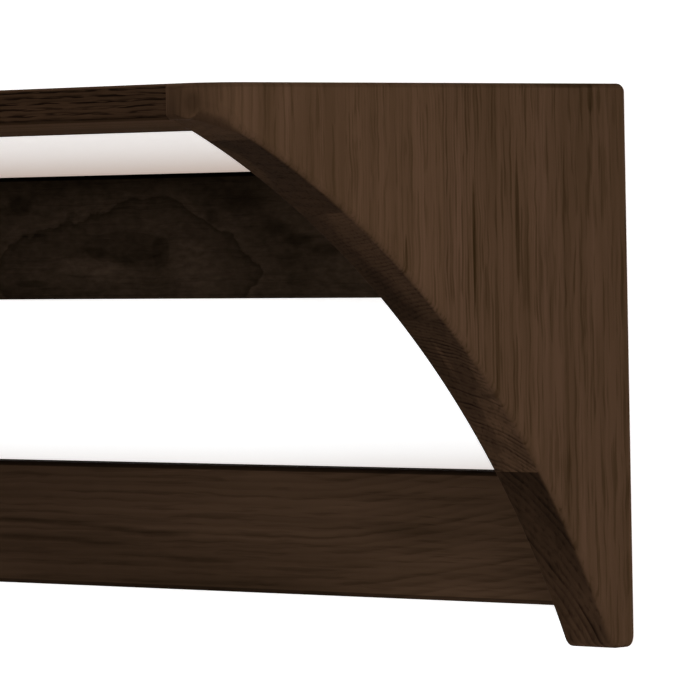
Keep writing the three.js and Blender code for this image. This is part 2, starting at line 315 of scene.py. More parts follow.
def underside(sizes):
    """The bracket's lower outline from the wall to the nose, as depths and heights from the top.

    A quarter circle at the heel, a level foot, a quadratic curve round its front corner, then the
    arch: an arc of a circle through the foot's corner and the nose, whose centre lies in front
    and below, so that height = centre height + root(radius squared - (depth - centre depth) squared).
    """
    low = RACK_FOOT - RACK_TOP
    foot = np.array([sizes.foot_depth, low])
    nose = np.array([RACK_DEPTH - sizes.nose_flat, -SHELF_THICKNESS])
    chord = nose - foot
    length = np.hypot(*chord)
    outward = np.array([chord[1], -chord[0]]) / length
    centre = (foot + nose) / 2 + outward * math.sqrt(sizes.arch_radius ** 2 - length ** 2 / 4)

    def angle_of(point):
        return math.atan2(point[1] - centre[1], point[0] - centre[0])

    arch_start = angle_of(foot) - sizes.foot_rounding / sizes.arch_radius
    angles = np.linspace(arch_start, angle_of(nose), ARCH_STATIONS)
    arch = centre + sizes.arch_radius * np.column_stack([np.cos(angles), np.sin(angles)])

    turn = np.linspace(0, 1, CORNER_STATIONS)[:-1, None]
    before = foot - [sizes.foot_rounding, 0]
    corner = (1 - turn) ** 2 * before + 2 * turn * (1 - turn) * foot + turn ** 2 * arch[0]

    swing = np.linspace(0, math.pi / 2, HEEL_STATIONS)
    heel = np.column_stack([
        sizes.heel * (1 - np.cos(swing)), low + sizes.heel * (1 - np.sin(swing))])
    tip = np.array([[RACK_DEPTH, -SHELF_THICKNESS]])
    return np.concatenate([heel, corner, arch, tip])


def quarter_stations(radius, count):
    """Distances from the edge at even turns of a quarter circle: radius x (1 - cosine)."""
    return radius * (1 - np.cos(np.linspace(0, math.pi / 2, count)))


def rounded_off(distance, radius):
    """What a quarter circle takes off at a distance from the edge: radius x (1 - root(1 - t^2)),
    where t runs from 1 at the edge to 0 one radius away from it."""
    part = np.clip(1 - distance / radius, 0, 1)
    return radius * (1 - np.sqrt(1 - part ** 2))


def smooth_step(values, low, high):
    """3 t^2 - 2 t^3, where t runs from 0 at low to 1 at high."""
    part = np.clip((values - low) / (high - low), 0, 1)
    return part * part * (3 - 2 * part)


def with_end_ring(rings, at):
    """The same sections with one more at an end, a little smaller, which keeps the end flat."""
    end = 0 if at == 0 else -1
    smaller = {"inner": SUPPORT, "outer": -SUPPORT, "bottom": SUPPORT, "top": -SUPPORT}
    return {label: np.insert(values, at, values[end] + smaller.get(label, 0.0))
            for label, values in rings.items()}


def bracket_stave(name, side, sizes):
    """One upright stave of a bracket: rounded rectangles in (across, up), lofted from the wall out.

    Their lower edge follows the underside's outline and their upper edge is level, with a quarter
    circle at the wall. The outer face falls away to the nose as a quarter circle in plan. The
    arris at a slope keeps its radius across, and is longer upwards by the slope's secant. The
    outer lower arris swells under the nose and fades again, along smooth steps. At the wall and at
    the nose the section shrinks along one more quarter circle, which rounds the end.
    """
    low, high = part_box(name)
    start, stop = -high.y, -low.y
    start = 0.0 if abs(start) < SUPPORT else start
    arris = sizes.bracket_arris
    wall_arris = arris * WALL_ARRIS_SHARE
    outline = underside(sizes)
    depths = np.concatenate([
        outline[:, 0],
        quarter_stations(wall_arris, END_STATIONS),
        quarter_stations(sizes.top_corner, END_STATIONS),
        RACK_DEPTH - quarter_stations(sizes.nose_radius, NOSE_STATIONS),
        RACK_DEPTH - quarter_stations(arris, END_STATIONS)])
    depths = depths[(depths > start + LEAST_STEP) & (depths < stop - LEAST_STEP)]
    depths = np.unique(np.concatenate([[start], depths, [stop]]).round(6))  # micrometres
    depths = depths[np.concatenate([[True], np.diff(depths) > LEAST_STEP])]
    depths[-1] = stop

    bottom = np.interp(depths, outline[:, 0], outline[:, 1])
    slopes = np.gradient(outline[:, 1], outline[:, 0])
    secant = np.minimum(np.hypot(1, np.interp(depths, outline[:, 0], slopes)), STEEPEST)
    wall_shrink = rounded_off(depths, wall_arris)
    front_shrink = rounded_off(RACK_DEPTH - depths, arris)
    outer = BRACKET_THICKNESS - rounded_off(RACK_DEPTH - depths, sizes.nose_radius) - wall_shrink
    swell_start, swell_full, fade_start, fade_end = (RACK_DEPTH - part for part in NOSE_SWELL)
    swell = smooth_step(depths, swell_start, swell_full) * smooth_step(
        depths, fade_end, fade_start)
    lower_arris = sizes.arch_arris + (sizes.nose_arris - sizes.arch_arris) * swell
    lower_arris = np.minimum(lower_arris, outer * WIDEST_ARRIS)

    rings = {
        "depths": depths,
        "inner": wall_shrink,
        "outer": outer,
        "bottom": bottom + front_shrink,
        "top": -rounded_off(depths, sizes.top_corner) - front_shrink,
        "outer_low": np.maximum(lower_arris - wall_shrink - front_shrink, LEAST_ROUNDING),
        "outer_high": np.maximum(arris - wall_shrink - front_shrink, LEAST_ROUNDING),
        "inner_low": np.maximum(arris * INNER_ARRIS_SHARE - wall_shrink, LEAST_ROUNDING),
        "secant": secant,
        "rim_start": RIM_START - NOSE_RIM_RISE * swell,
    }
    if start == 0.0:
        rings = with_end_ring(rings, 0)
    if abs(stop - RACK_DEPTH) < SUPPORT:
        rings = with_end_ring(rings, len(depths))

    sharp = np.full(len(rings["depths"]), LEAST_ROUNDING)
    outline, rim, edge_darkening_mask = rounded_sections(
        rings["inner"], rings["outer"], rings["bottom"], rings["top"],
        [(rings["outer_low"], rings["outer_low"] * rings["secant"]),
         (rings["outer_high"], rings["outer_high"]),
         (sharp, sharp),
         (rings["inner_low"], rings["inner_low"] * rings["secant"])],
        BRACKET_EDGE_DARKENING, (1.0, TOP_RIM, TOP_RIM, 1.0), rings["rim_start"])
    points = np.empty(outline.shape[:2] + (3,))
    points[:, :, 0] = SIDES[side] * (INNER_HALF_WIDTH + outline[:, :, 0])
    points[:, :, 1] = -rings["depths"][:, None]
    points[:, :, 2] = RACK_TOP + outline[:, :, 1]
    return add_piece(
        name.replace("stave", "board"), points.reshape(-1, 3),
        loft_faces(*outline.shape[:2]), {"rim": rim.ravel(), "arris": edge_darkening_mask.ravel()})


def long_board(name, node, broad_axis, corner_radii, edge_darkening):
    """A board along the wall: one rounded rectangle carried from end to end.

    broad_axis is the axis that its broad faces look along. corner_radii are the four roundings,
    and edge_darkening how much each is darkened, in anticlockwise order from (high on the broad
    axis, low on the other).
    """
    low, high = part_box(node)
    u, v = (1, 2) if broad_axis == 1 else (2, 1)
    radii = [(np.maximum(radius, LEAST_ROUNDING),) * 2 for radius in corner_radii]
    outline, rim, edge_darkening_mask = rounded_sections(
        np.array([low[u]] * 2), high[u], low[v], high[v], radii, edge_darkening)
    points = np.empty(outline.shape[:2] + (3,))
    points[:, :, 0] = np.array([low.x, high.x])[:, None]
    points[:, :, u] = outline[:, :, 0]
    points[:, :, v] = outline[:, :, 1]
    return add_piece(
        name, points.reshape(-1, 3), loft_faces(*outline.shape[:2]),
        {"rim": rim.ravel(), "arris": edge_darkening_mask.ravel()})


def turned_rings(radii, stations, around, along, middle):
    """Rings round an axis: radius times the cosine and sine of the angle, at each station."""
    angle = np.linspace(0, 2 * math.pi, around, endpoint=False)
    rings = np.empty((len(radii), around, 3))
    rings[:, :, along] = np.asarray(stations)[:, None]
    rings[:, :, (along + 1) % 3] = np.asarray(radii)[:, None] * np.cos(angle)
    rings[:, :, (along + 2) % 3] = np.asarray(radii)[:, None] * np.sin(angle)
    return rings + np.asarray(middle)


def slot_rings(radii, reach, stations, middle):
    """Upright slot outlines across Y, one for each radius and station: a circle whose halves are
    moved up and down by the reach."""
    angle = (np.arange(SLOT_SIDES) + 0.5) * 2 * math.pi / SLOT_SIDES
    rings = np.empty((len(stations), SLOT_SIDES, 3))
    rings[:, :, 0] = np.asarray(radii)[:, None] * np.cos(angle)
    rings[:, :, 1] = np.asarray(stations)[:, None]
    rings[:, :, 2] = np.asarray(radii)[:, None] * np.sin(angle) + reach * np.sign(np.sin(angle))
    return rings + np.asarray(middle)


def add_rings(name, rings):
    """A closed piece through rings that have the same number of points."""
    return add_piece(name, rings.reshape(-1, 3), loft_faces(*rings.shape[:2]))


def dowel_bores(node):
    """A plain cylinder for every dowel that reaches into this node's box."""
    low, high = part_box(node)
    bores = []
    for name in sorted(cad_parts):
        start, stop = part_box(name)
        apart = any(stop[axis] <= low[axis] or start[axis] >= high[axis] for axis in range(3))
        if "dowel" not in name or apart:
            continue
        radius = (stop.z - start.z) / 2 + DOWEL_CLEARANCE
        stations = [start.x - DOWEL_CLEARANCE, stop.x + DOWEL_CLEARANCE]
        middle = (0.0, (start.y + stop.y) / 2, (start.z + stop.z) / 2)
        bores.append(add_rings(
            "bore", turned_rings([radius] * 2, stations, BORE_SIDES, 0, middle)))
    return bores


def hanger_cuts():
    """What is cut from the upper rail for its plates, screws and the wall screws' heads."""
    cuts = []
    for name in sorted(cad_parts):
        low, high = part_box(name)
        middle = (low + high) / 2
        middle.y = 0.0
        if "plate" in name:
            radius = (high.x - low.x) / 2 + PLATE_CLEARANCE
            reach = (high.z - low.z) / 2 - (high.x - low.x) / 2
            cuts.append(add_rings("recess", slot_rings(
                [radius] * 2, reach, [CUT_MARGIN, low.y], middle)))
            cuts.append(add_rings("pocket", slot_rings(
                [HEAD_POCKET_RADIUS] * 2, KEYHOLE_TRAVEL / 2,
                [CUT_MARGIN, low.y - HEAD_POCKET_DEPTH], middle)))
        elif "screw" in name:
            radius = SCREW_SHANK / 2 + SCREW_CLEARANCE
            stations = [CUT_MARGIN, low.y + SCREW_POINT, low.y - SCREW_CLEARANCE]
            cuts.append(add_rings("pilot", turned_rings(
                [radius, radius, POINT_RADIUS], stations, BORE_SIDES, 1, middle)))
    return cuts


def cut_away(piece, cutters):
    """Takes the cutters out of a piece one after another, and removes them."""
    for cutter in cutters:
        cut = piece.modifiers.new("Cut", "BOOLEAN")
        cut.operation = "DIFFERENCE"
        cut.solver = "EXACT"
        cut.object = cutter
    graph = bpy.context.evaluated_depsgraph_get()
    mesh = bpy.data.meshes.new_from_object(
        piece.evaluated_get(graph), preserve_all_data_layers=True, depsgraph=graph)
    piece.modifiers.clear()
    whole = piece.data
    piece.data = mesh
    bpy.data.meshes.remove(whole)
    for cutter in cutters:
        bpy.data.meshes.remove(cutter.data)
    mesh.name = piece.name
    mesh.set_sharp_from_angle(angle=SHARP_ANGLE)


def keyhole_plate(name, node):
    """A slot-shaped plate whose radius falls by the arris, less a quarter circle, at both faces.

    It is cut right through by the keyhole, a round entry and a narrower slot up from it, and by a
    hole with a sunk cone for each of its screws.
    """
    low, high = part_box(node)
    middle = (low + high) / 2
    middle.y = 0.0
    radius = (high.x - low.x) / 2
    reach = (high.z - low.z) / 2 - radius
    turn = np.linspace(0, math.pi / 2, PLATE_ARRIS_STATIONS)
    fall = np.concatenate([[PLATE_ARRIS + SUPPORT], PLATE_ARRIS * (1 - np.sin(turn))])
    drop = np.concatenate([[0.0], PLATE_ARRIS * (1 - np.cos(turn))])
    radii = radius - np.concatenate([fall, fall[::-1]])
    stations = np.concatenate([high.y - drop, (low.y + drop)[::-1]])
    plate = add_rings(name, slot_rings(radii, reach, stations, middle))

    through = [CUT_MARGIN, low.y - CUT_MARGIN]
    entry = middle - Vector((0.0, 0.0, KEYHOLE_TRAVEL / 2))
    cuts = [
        add_rings("entry", turned_rings(
            [KEYHOLE_ENTRY / 2] * 2, through, ENTRY_SIDES, 1, entry)),
        add_rings("slot", slot_rings(
            [KEYHOLE_SLOT / 2] * 2, KEYHOLE_TRAVEL / 2, through, middle)),
    ]
    for screw in sorted(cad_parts):
        screw_low, screw_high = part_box(screw)
        centre = (screw_low + screw_high) / 2
        if "screw" in screw and low.x < centre.x < high.x:
            centre.y = 0.0
            head = (screw_high.x - screw_low.x) / 2 + SCREW_CLEARANCE / 2
            shank = SCREW_SHANK / 2 + SCREW_CLEARANCE
            depths = [CUT_MARGIN, high.y - SUNK_WALL, high.y - SCREW_HEAD, low.y - CUT_MARGIN]
            cuts.append(add_rings("sunk hole", turned_rings(
                [head, head, shank, shank], depths, SUNK_SIDES, 1, centre)))
    cut_away(plate, cuts)
    return plate


def wood_screw(name, node):
    """A countersunk screw along Y: rings from the middle of its head, over the cone and down.

    The head sinks where a place lies in either arm of the cross recess: the depth falls to
    nothing over a short slope at the arms' sides and ends. The shank's radius swells with a
    ridge that runs round once in each pitch of its length.
    """
    low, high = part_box(node)
    middle = (low + high) / 2
    head = (high.x - low.x) / 2
    face = np.linspace(POINT_RADIUS, head - HEAD_EDGE, HEAD_STATIONS)
    cone = np.array([head, head, SCREW_SHANK / 2])
    cone_at = np.array([-HEAD_EDGE, -2 * HEAD_EDGE, -SCREW_HEAD])
    length = high.y - low.y
    shank_at = np.linspace(-SCREW_HEAD - SHANK_NECK, LEAST_STEP - length, SHANK_STATIONS)
    taper = np.clip((shank_at + length) / SCREW_POINT, SCREW_BLUNTNESS, 1)
    radii = np.concatenate([face, cone, taper * SCREW_SHANK / 2])
    stations = np.concatenate([face * 0, cone_at, shank_at]) + high.y
    rings = turned_rings(radii, stations, SCREW_SIDES, 1, (0.0, 0.0, 0.0))

    across = np.abs(rings[:, :, 0])
    up = np.abs(rings[:, :, 2])
    in_arm = np.clip((CROSS_WIDTH / 2 - np.minimum(across, up)) / CROSS_SIDE_SLOPE, 0, 1)
    in_reach = np.clip((CROSS_REACH - np.maximum(across, up)) / CROSS_END_SLOPE, 0, 1)
    on_face = (np.arange(len(radii)) < len(face))[:, None]
    rings[:, :, 1] -= CROSS_DEPTH * in_arm * in_reach * on_face

    turn = np.arctan2(rings[:, :, 2], rings[:, :, 0]) / (2 * math.pi)
    winding = (rings[:, :, 1] / SCREW_PITCH - turn) % 1.0
    ridge = np.clip(1 - np.abs(winding - 0.5) * THREAD_SHARPNESS, 0, 1)
    on_shank = (np.arange(len(radii)) > len(face) + len(cone))[:, None]
    groove = 1 - SCREW_THREAD * (1 - ridge) * on_shank
    rings[:, :, 0] *= groove
    rings[:, :, 2] *= groove
    return add_rings(name, rings + np.array([middle.x, 0.0, middle.z]))


def finish_piece(piece, slot, material, *nodes):
    """Gives a piece its material and ties it to the frame, in place of its nodes."""
    piece.data.materials.clear()
    piece.data.materials.append(material)
    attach(piece, "root")
    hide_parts(*nodes)


# ---------------------------------------------------------------- node helpers

class Wiring:
    """Adds nodes to one tree. Inputs are given as sockets to link or as plain values."""

    def __init__(self, tree):
        self.tree = tree

    def node(self, kind, inputs=None, **settings):
        made = self.tree.nodes.new(kind)
        for label, value in settings.items():
            setattr(made, label, value)
        for key, value in (inputs or {}).items():
            if isinstance(value, bpy.types.NodeSocket):
                self.tree.links.new(value, made.inputs[key])
            else:
                made.inputs[key].default_value = value
        return made

    def math(self, operation, *values, clamp=False):
        made = self.node(
            "ShaderNodeMath", dict(enumerate(values)), operation=operation, use_clamp=clamp)
        return made.outputs[0]

    def vector_math(self, operation, *values):
        made = self.node("ShaderNodeVectorMath", dict(enumerate(values)), operation=operation)
        return made.outputs["Value" if operation == "LENGTH" else "Vector"]

    def noise(self, vector, detail=2.0, roughness=0.5):
        made = self.node("ShaderNodeTexNoise", {
            "Vector": vector, "Scale": 1.0, "Detail": detail, "Roughness": roughness})
        return made.outputs["Fac"]

    def span(self, value, low, high, to_low=0.0, to_high=1.0, smooth=False):
        made = self.node("ShaderNodeMapRange", {
            "Value": value, "From Min": low, "From Max": high, "To Min": to_low,
            "To Max": to_high}, interpolation_type="SMOOTHSTEP" if smooth else "LINEAR")
        return made.outputs["Result"]

    def split(self, vector):
        return self.node("ShaderNodeSeparateXYZ", {"Vector": vector}).outputs

    def tint(self, colour, value):
        made = self.node("ShaderNodeVectorMath", {0: colour, "Scale": value}, operation="SCALE")
        return made.outputs["Vector"]


def new_group(name, inputs, outputs):
    """An empty shader node group, as its tree, its wiring and its input and output nodes."""
    tree = bpy.data.node_groups.new(name, "ShaderNodeTree")
    for label, (kind, value) in inputs.items():
        socket = tree.interface.new_socket(label, in_out="INPUT", socket_type=kind)
        if value is not None:
            socket.default_value = value
    for label, kind in outputs.items():
        tree.interface.new_socket(label, in_out="OUTPUT", socket_type=kind)
    wiring = Wiring(tree)
    given = wiring.node("NodeGroupInput").outputs
    result = wiring.node("NodeGroupOutput")
    return tree, wiring, given, result


def new_material(name):
    """A material whose node tree is empty, and the wiring for it."""
    material = bpy.data.materials.new(name)
    material.use_nodes = True
    material.node_tree.nodes.clear()
    return material, Wiring(material.node_tree)


def seen_by_camera(w, path):
    """One for the rays that show a place, straight, in a reflection or through glass."""
    mirrored = w.math("MAXIMUM", path["Is Glossy Ray"], path["Is Transmission Ray"])
    return w.math("MAXIMUM", path["Is Camera Ray"], mirrored)


FLOAT = "NodeSocketFloat"
VECTOR = "NodeSocketVector"
COLOUR = "NodeSocketColor"

# Noise scales, across the grain twice and along it, in waves a metre
SHIFT_SCALE = (60.0, 60.0, 42.0)
WAVE_SCALE = (13.0, 13.0, 3.5)
PATCHY_SCALE = (90.0, 90.0, 9.0)
FLAME_SCALE = (28.0, 28.0, 40.0)
FLAME_RAG_SCALE = (120.0, 120.0, 190.0)
PATCH_RAG_SCALE = (110.0, 110.0, 110.0)
PLASTER_SCALE = (9.0, 9.0, 9.0)
BRUSHED_SCALE = (3000.0, 300.0, 120.0)
CLOUDY_SCALE = (180.0, 180.0, 180.0)

BAND_PEAK = 0.15  # where in a growth ring its porous band is darkest, and where it has gone
BAND_END = 0.8
RING_STRENGTHS = (0.15, 1.0)  # of the faintest growth ring and of the strongest
PATCHY_SPAN = (0.3, 0.7, 0.3, 1.0)  # from one noise to another, and the rings' strength at each
PORE_SOFTNESS = 0.16
STREAK_LENGTH = 45.0  # against its width
STREAK_DETAIL = 3.0
STREAK_ROUGHNESS = 0.68
DARKEST = 0.05  # the least that the figure leaves of the mean colour
PORE_ROUGHNESS = 0.18  # how much rougher the pores are, and the clouds
CLOUD_ROUGHNESS = 0.12
RING_HEIGHT = -0.25  # against a pore's depth
STREAK_HEIGHT = 0.3
FLAME_RAG = 0.45  # of the fine noise, against the broad noise
FLAME_REACH = 5.0
FLAME_POWER = 1.35  # 2 gives ellipses, and less gives contours that run to a point
FLAME_TONES = (  # reach, then how light the wood is there
    (0.0, 0.52), (0.6, 0.62), (0.9, 0.45), (0.98, 0.22), (1.0, 0.72), (1.08, 0.58), (1.22, 0.5),
    (1.32, 0.38), (1.44, 0.36), (1.54, 0.52), (2.1, 0.56), (2.3, 0.3), (2.33, 0.6), (3.0, 0.5),
    (3.2, 0.3), (3.23, 0.58), (4.1, 0.45), (4.3, 0.3), (4.34, 0.55), (5.0, 0.5))
GRAIN_TURN = (0.0, -math.pi / 2, 0.0)  # turns wood whose grain runs along x to the log's z
OAK_BUMP = {"Strength": 0.25, "Distance": 0.0004}
BEECH_BUMP = {"Strength": 0.2, "Distance": 0.0002}
METAL_BUMP = {"Strength": 0.15, "Distance": 0.0001}
METAL_SHADE = 0.3  # how much its colour varies
METAL_ROUGHNESS = 0.12  # and its roughness


def oak_figure_group():
    """Oak's figure through the whole board, in log coordinates whose z runs along the grain.

    Every place is first shifted a little by noise, so that no line is straight. Rings: distance
    from the pith, plus slow waves and a lift along the grain, over the ring spacing; each ring
    starts with a dark porous band that fades out, and has its own strength. Pores: noise drawn
    out along the grain and kept only where it is high, most of it in the porous bands. Streaks
    and clouds: noise drawn out along the grain too, from fine to broad.
    """
    tree, w, given, result = new_group("Wood figure", {
        "Vector": (VECTOR, None),
        "Ring Spacing": (FLOAT, 0.003),
        "Waves": (FLOAT, 0.003),
        "Lift": (FLOAT, 0.0),
        "Lift From": (FLOAT, 0.0),
        "Lift To": (FLOAT, 1.0),
        "Pore Width": (FLOAT, 0.0007),
        "Pore Length": (FLOAT, 0.012),
        "Pore Start": (FLOAT, 0.54),
        "Streak Width": (FLOAT, 0.002),
        "Cloud Width": (FLOAT, 0.02),
        "Cloud Length": (FLOAT, 6.0),
        "Pore Spread": (FLOAT, 0.6),
        "Wander": (FLOAT, 0.0034),
    }, {"Rings": FLOAT, "Pores": FLOAT, "Streaks": FLOAT, "Clouds": FLOAT})
    straight = given["Vector"]
    shift = w.node("ShaderNodeTexNoise", {
        "Vector": w.vector_math("MULTIPLY", straight, SHIFT_SCALE), "Scale": 1.0,
        "Detail": 1.0}).outputs["Color"]
    sideways = w.node("ShaderNodeCombineXYZ", {"X": given["Wander"], "Y": given["Wander"]})
    shift = w.vector_math("MULTIPLY", w.vector_math("SUBTRACT", shift, (0.5, 0.5, 0.5)),
                          sideways.outputs[0])
    log = w.vector_math("ADD", straight, shift)

    slow = w.noise(w.vector_math("MULTIPLY", log, WAVE_SCALE), detail=1.0)
    across = w.vector_math("MULTIPLY", log, (1.0, 1.0, 0.0))
    radius = w.math("MULTIPLY_ADD", w.math("SUBTRACT", slow, 0.5),
                    w.math("MULTIPLY", given["Waves"], 2.0), w.vector_math("LENGTH", across))
    lifted = w.span(w.split(log)["Z"], given["Lift From"], given["Lift To"], smooth=True)
    radius = w.math("MULTIPLY_ADD", lifted, given["Lift"], radius)
    phase = w.math("DIVIDE", radius, given["Ring Spacing"])
    index = w.math("FLOOR", phase)
    part = w.math("SUBTRACT", phase, index)
    strength = w.node("ShaderNodeTexWhiteNoise", {"W": index}, noise_dimensions="1D")
    rise = w.span(part, 0.0, BAND_PEAK, smooth=True)
    fall = w.span(part, BAND_PEAK, BAND_END, 1.0, 0.0, smooth=True)
    band = w.math("MULTIPLY", rise, fall)
    own = w.span(strength.outputs["Value"], 0.0, 1.0, *RING_STRENGTHS)
    patchy = w.span(
        w.noise(w.vector_math("MULTIPLY", log, PATCHY_SCALE), detail=1.0), *PATCHY_SPAN)
    rings = w.math("MULTIPLY", w.math("MULTIPLY", band, own), patchy)

    fine = w.math("DIVIDE", 1.0, given["Pore Width"])
    lengthwise = w.math("DIVIDE", 1.0, given["Pore Length"])
    pore_scale = w.node("ShaderNodeCombineXYZ", {"X": fine, "Y": fine, "Z": lengthwise})
    pore_noise = w.noise(w.vector_math("MULTIPLY", log, pore_scale.outputs[0]), detail=1.0)
    speck = w.span(pore_noise, given["Pore Start"],
                   w.math("ADD", given["Pore Start"], PORE_SOFTNESS), smooth=True)
    pores = w.math("MULTIPLY", speck, w.span(band, 0.0, 1.0, given["Pore Spread"], 1.0))

    def drawn_out(width, ratio, detail, roughness):
        narrow = w.math("DIVIDE", 1.0, width)
        along = w.math("DIVIDE", narrow, ratio)
        scale = w.node("ShaderNodeCombineXYZ", {"X": narrow, "Y": narrow, "Z": along})
        return w.noise(w.vector_math("MULTIPLY", log, scale.outputs[0]), detail, roughness)

    streaks = drawn_out(
        given["Streak Width"], STREAK_LENGTH, STREAK_DETAIL, STREAK_ROUGHNESS)
    clouds = drawn_out(given["Cloud Width"], given["Cloud Length"], 2.0, 0.5)
    for label, value in (("Rings", rings), ("Pores", pores), ("Streaks", streaks),
                         ("Clouds", clouds)):
        tree.links.new(value, result.inputs[label])
    return tree


def stain_group():
    """Stain over oak: the colour is the mean colour times one factor for each part of the figure.

    The factors are 1 - depth x mask for the rings and pores, 1 + depth x (noise - half) for the
    streaks and clouds, and the marks as they come. Blue takes the factor to the power of one plus
    the warmth, because stain that lies deeper is also warmer. Height falls, and roughness rises,
    in the pores.
    """
    tree, w, given, result = new_group("Stained wood", {
        "Colour": (COLOUR, (0.07, 0.04, 0.02, 1.0)),
        "Rings": (FLOAT, 0.0), "Ring Depth": (FLOAT, 0.2),
        "Pores": (FLOAT, 0.0), "Pore Depth": (FLOAT, 0.3),
        "Streaks": (FLOAT, 0.5), "Streak Depth": (FLOAT, 0.3),
        "Clouds": (FLOAT, 0.5), "Cloud Depth": (FLOAT, 0.2),
        "Marks": (FLOAT, 1.0),
        "Warmth": (FLOAT, 0.3),
        "Roughness": (FLOAT, 0.6),
    }, {"Colour": COLOUR, "Roughness": FLOAT, "Height": FLOAT})

    def darkened(mask, depth):
        return w.math("SUBTRACT", 1.0, w.math("MULTIPLY", mask, depth))

    def varied(noise, depth):
        return w.math("MULTIPLY_ADD", w.math("SUBTRACT", noise, 0.5), depth, 1.0)

    factor = w.math("MULTIPLY", darkened(given["Rings"], given["Ring Depth"]),
                    darkened(given["Pores"], given["Pore Depth"]))
    factor = w.math("MULTIPLY", factor, varied(given["Streaks"], given["Streak Depth"]))
    factor = w.math("MULTIPLY", factor, varied(given["Clouds"], given["Cloud Depth"]))
    factor = w.math("MAXIMUM", w.math("MULTIPLY", factor, given["Marks"]), DARKEST)
    warmer = w.node("ShaderNodeCombineXYZ", {
        "X": factor, "Y": factor,
        "Z": w.math("POWER", factor, w.math("ADD", given["Warmth"], 1.0))})
    tree.links.new(w.vector_math("MULTIPLY", given["Colour"], warmer.outputs[0]),
                   result.inputs["Colour"])

    rough = w.math("MULTIPLY_ADD", given["Pores"], PORE_ROUGHNESS, given["Roughness"])
    rough = w.math("MULTIPLY_ADD", w.math("SUBTRACT", given["Clouds"], 0.5), CLOUD_ROUGHNESS,
                   rough, clamp=True)
    tree.links.new(rough, result.inputs["Roughness"])
    pits = w.math("MULTIPLY_ADD", given["Pores"], -1.0, 1.0)
    pits = w.math("MULTIPLY_ADD", given["Rings"], RING_HEIGHT, pits)
    pits = w.math("MULTIPLY_ADD", given["Streaks"], STREAK_HEIGHT, pits)
    tree.links.new(pits, result.inputs["Height"])
    return tree


def flame_figure_group():
    """Flat-sawn figure: uneven contours round one place, light and dark in turn.

    Across and up are the distances from the centre over its half width, which differs to the left
    and to the right, and its half height. The reach is (across^p + up^p)^(1/p), plus ragged noise;
    tone is read from the reach by a ramp, whose steps are the edges of the growth rings.
    """
    tree, w, given, result = new_group("Flame figure", {
        "Vector": (VECTOR, None),
        "Centre": (VECTOR, None),
        "Left": (FLOAT, 0.1),
        "Right": (FLOAT, 0.1),
        "Height": (FLOAT, 0.04),
        "Raggedness": (FLOAT, 0.3),
    }, {"Tone": FLOAT})
    place = w.split(w.vector_math("SUBTRACT", given["Vector"], given["Centre"]))
    rightward = w.math("DIVIDE", w.math("MAXIMUM", place["X"], 0.0), given["Right"])
    leftward = w.math("DIVIDE", w.math("MINIMUM", place["X"], 0.0), given["Left"])
    across = w.math("SUBTRACT", rightward, leftward)
    up = w.math("DIVIDE", w.math("ABSOLUTE", place["Z"]), given["Height"])
    reach = w.math("ADD", w.math("POWER", across, FLAME_POWER), w.math("POWER", up, FLAME_POWER))
    reach = w.math("POWER", reach, 1 / FLAME_POWER)
    broad = w.noise(w.vector_math("MULTIPLY", given["Vector"], FLAME_SCALE), detail=1.0)
    rag = w.noise(w.vector_math("MULTIPLY", given["Vector"], FLAME_RAG_SCALE), detail=3.0)
    reach = w.math("MULTIPLY_ADD", w.math("SUBTRACT", broad, 0.5), given["Raggedness"], reach)
    reach = w.math("MULTIPLY_ADD", w.math("SUBTRACT", rag, 0.5),
                   w.math("MULTIPLY", given["Raggedness"], FLAME_RAG), reach)
    ramp = w.node("ShaderNodeValToRGB", {"Fac": w.math("DIVIDE", reach, FLAME_REACH)})
    elements = ramp.color_ramp.elements
    while len(elements) < len(FLAME_TONES):
        elements.new(0.5)
    for element, (reach_at, tone) in zip(elements, FLAME_TONES):
        element.position = reach_at / FLAME_REACH
        element.color = (tone, tone, tone, 1.0)
    tree.links.new(ramp.outputs["Color"], result.inputs["Tone"])
    return tree


def ragged_patch_group():
    """A patch with a ragged edge: one inside an ellipsoid, and falling to nothing at its edge.

    The reach is the length of (place - centre) over the three half sizes, plus noise, and the
    mask is what it falls short of one by, over the softness.
    """
    tree, w, given, result = new_group("Ragged patch", {
        "Vector": (VECTOR, None),
        "Centre": (VECTOR, None),
        "Half Sizes": (VECTOR, None),
        "Raggedness": (FLOAT, 0.3),
        "Softness": (FLOAT, 0.3),
    }, {"Mask": FLOAT})
    place = w.vector_math("SUBTRACT", given["Vector"], given["Centre"])
    reach = w.vector_math("LENGTH", w.vector_math("DIVIDE", place, given["Half Sizes"]))
    rag = w.noise(w.vector_math("MULTIPLY", given["Vector"], PATCH_RAG_SCALE))
    reach = w.math("MULTIPLY_ADD", w.math("SUBTRACT", rag, 0.5), given["Raggedness"], reach)
    mask = w.math("DIVIDE", w.math("SUBTRACT", 1.0, reach), given["Softness"], clamp=True)
    tree.links.new(mask, result.inputs["Mask"])
    return tree


GROUP_MAKERS = {
    "Wood figure": oak_figure_group,
    "Flame figure": flame_figure_group,
    "Stained wood": stain_group,
    "Ragged patch": ragged_patch_group,
}


def group(name):
    """A node group by name, built the first time that it is asked for."""
    return bpy.data.node_groups.get(name) or GROUP_MAKERS[name]()


# ---------------------------------------------------------------- woods

class Patch(NamedTuple):
    """A place where the wood is darker, or lighter where the depth is below nothing."""

    centre: tuple
    half_sizes: tuple
    depth: float
    softness: float = 0.3
    sawn: bool = False  # whether it shows on the sawn edges alone


RAIL_MIDDLE = -0.01  # of the rails' thickness, along Y
RIGHT_THROUGH = 0.2  # half depth of a mark that shows alike on both faces


def rail_mark(x, z, half_length, half_height, depth, softness):
    """A patch that goes right through a rail, by its place and size on the rail's front."""
    return Patch(
        (x, RAIL_MIDDLE, z), (half_length, RIGHT_THROUGH, half_height), depth, softness)


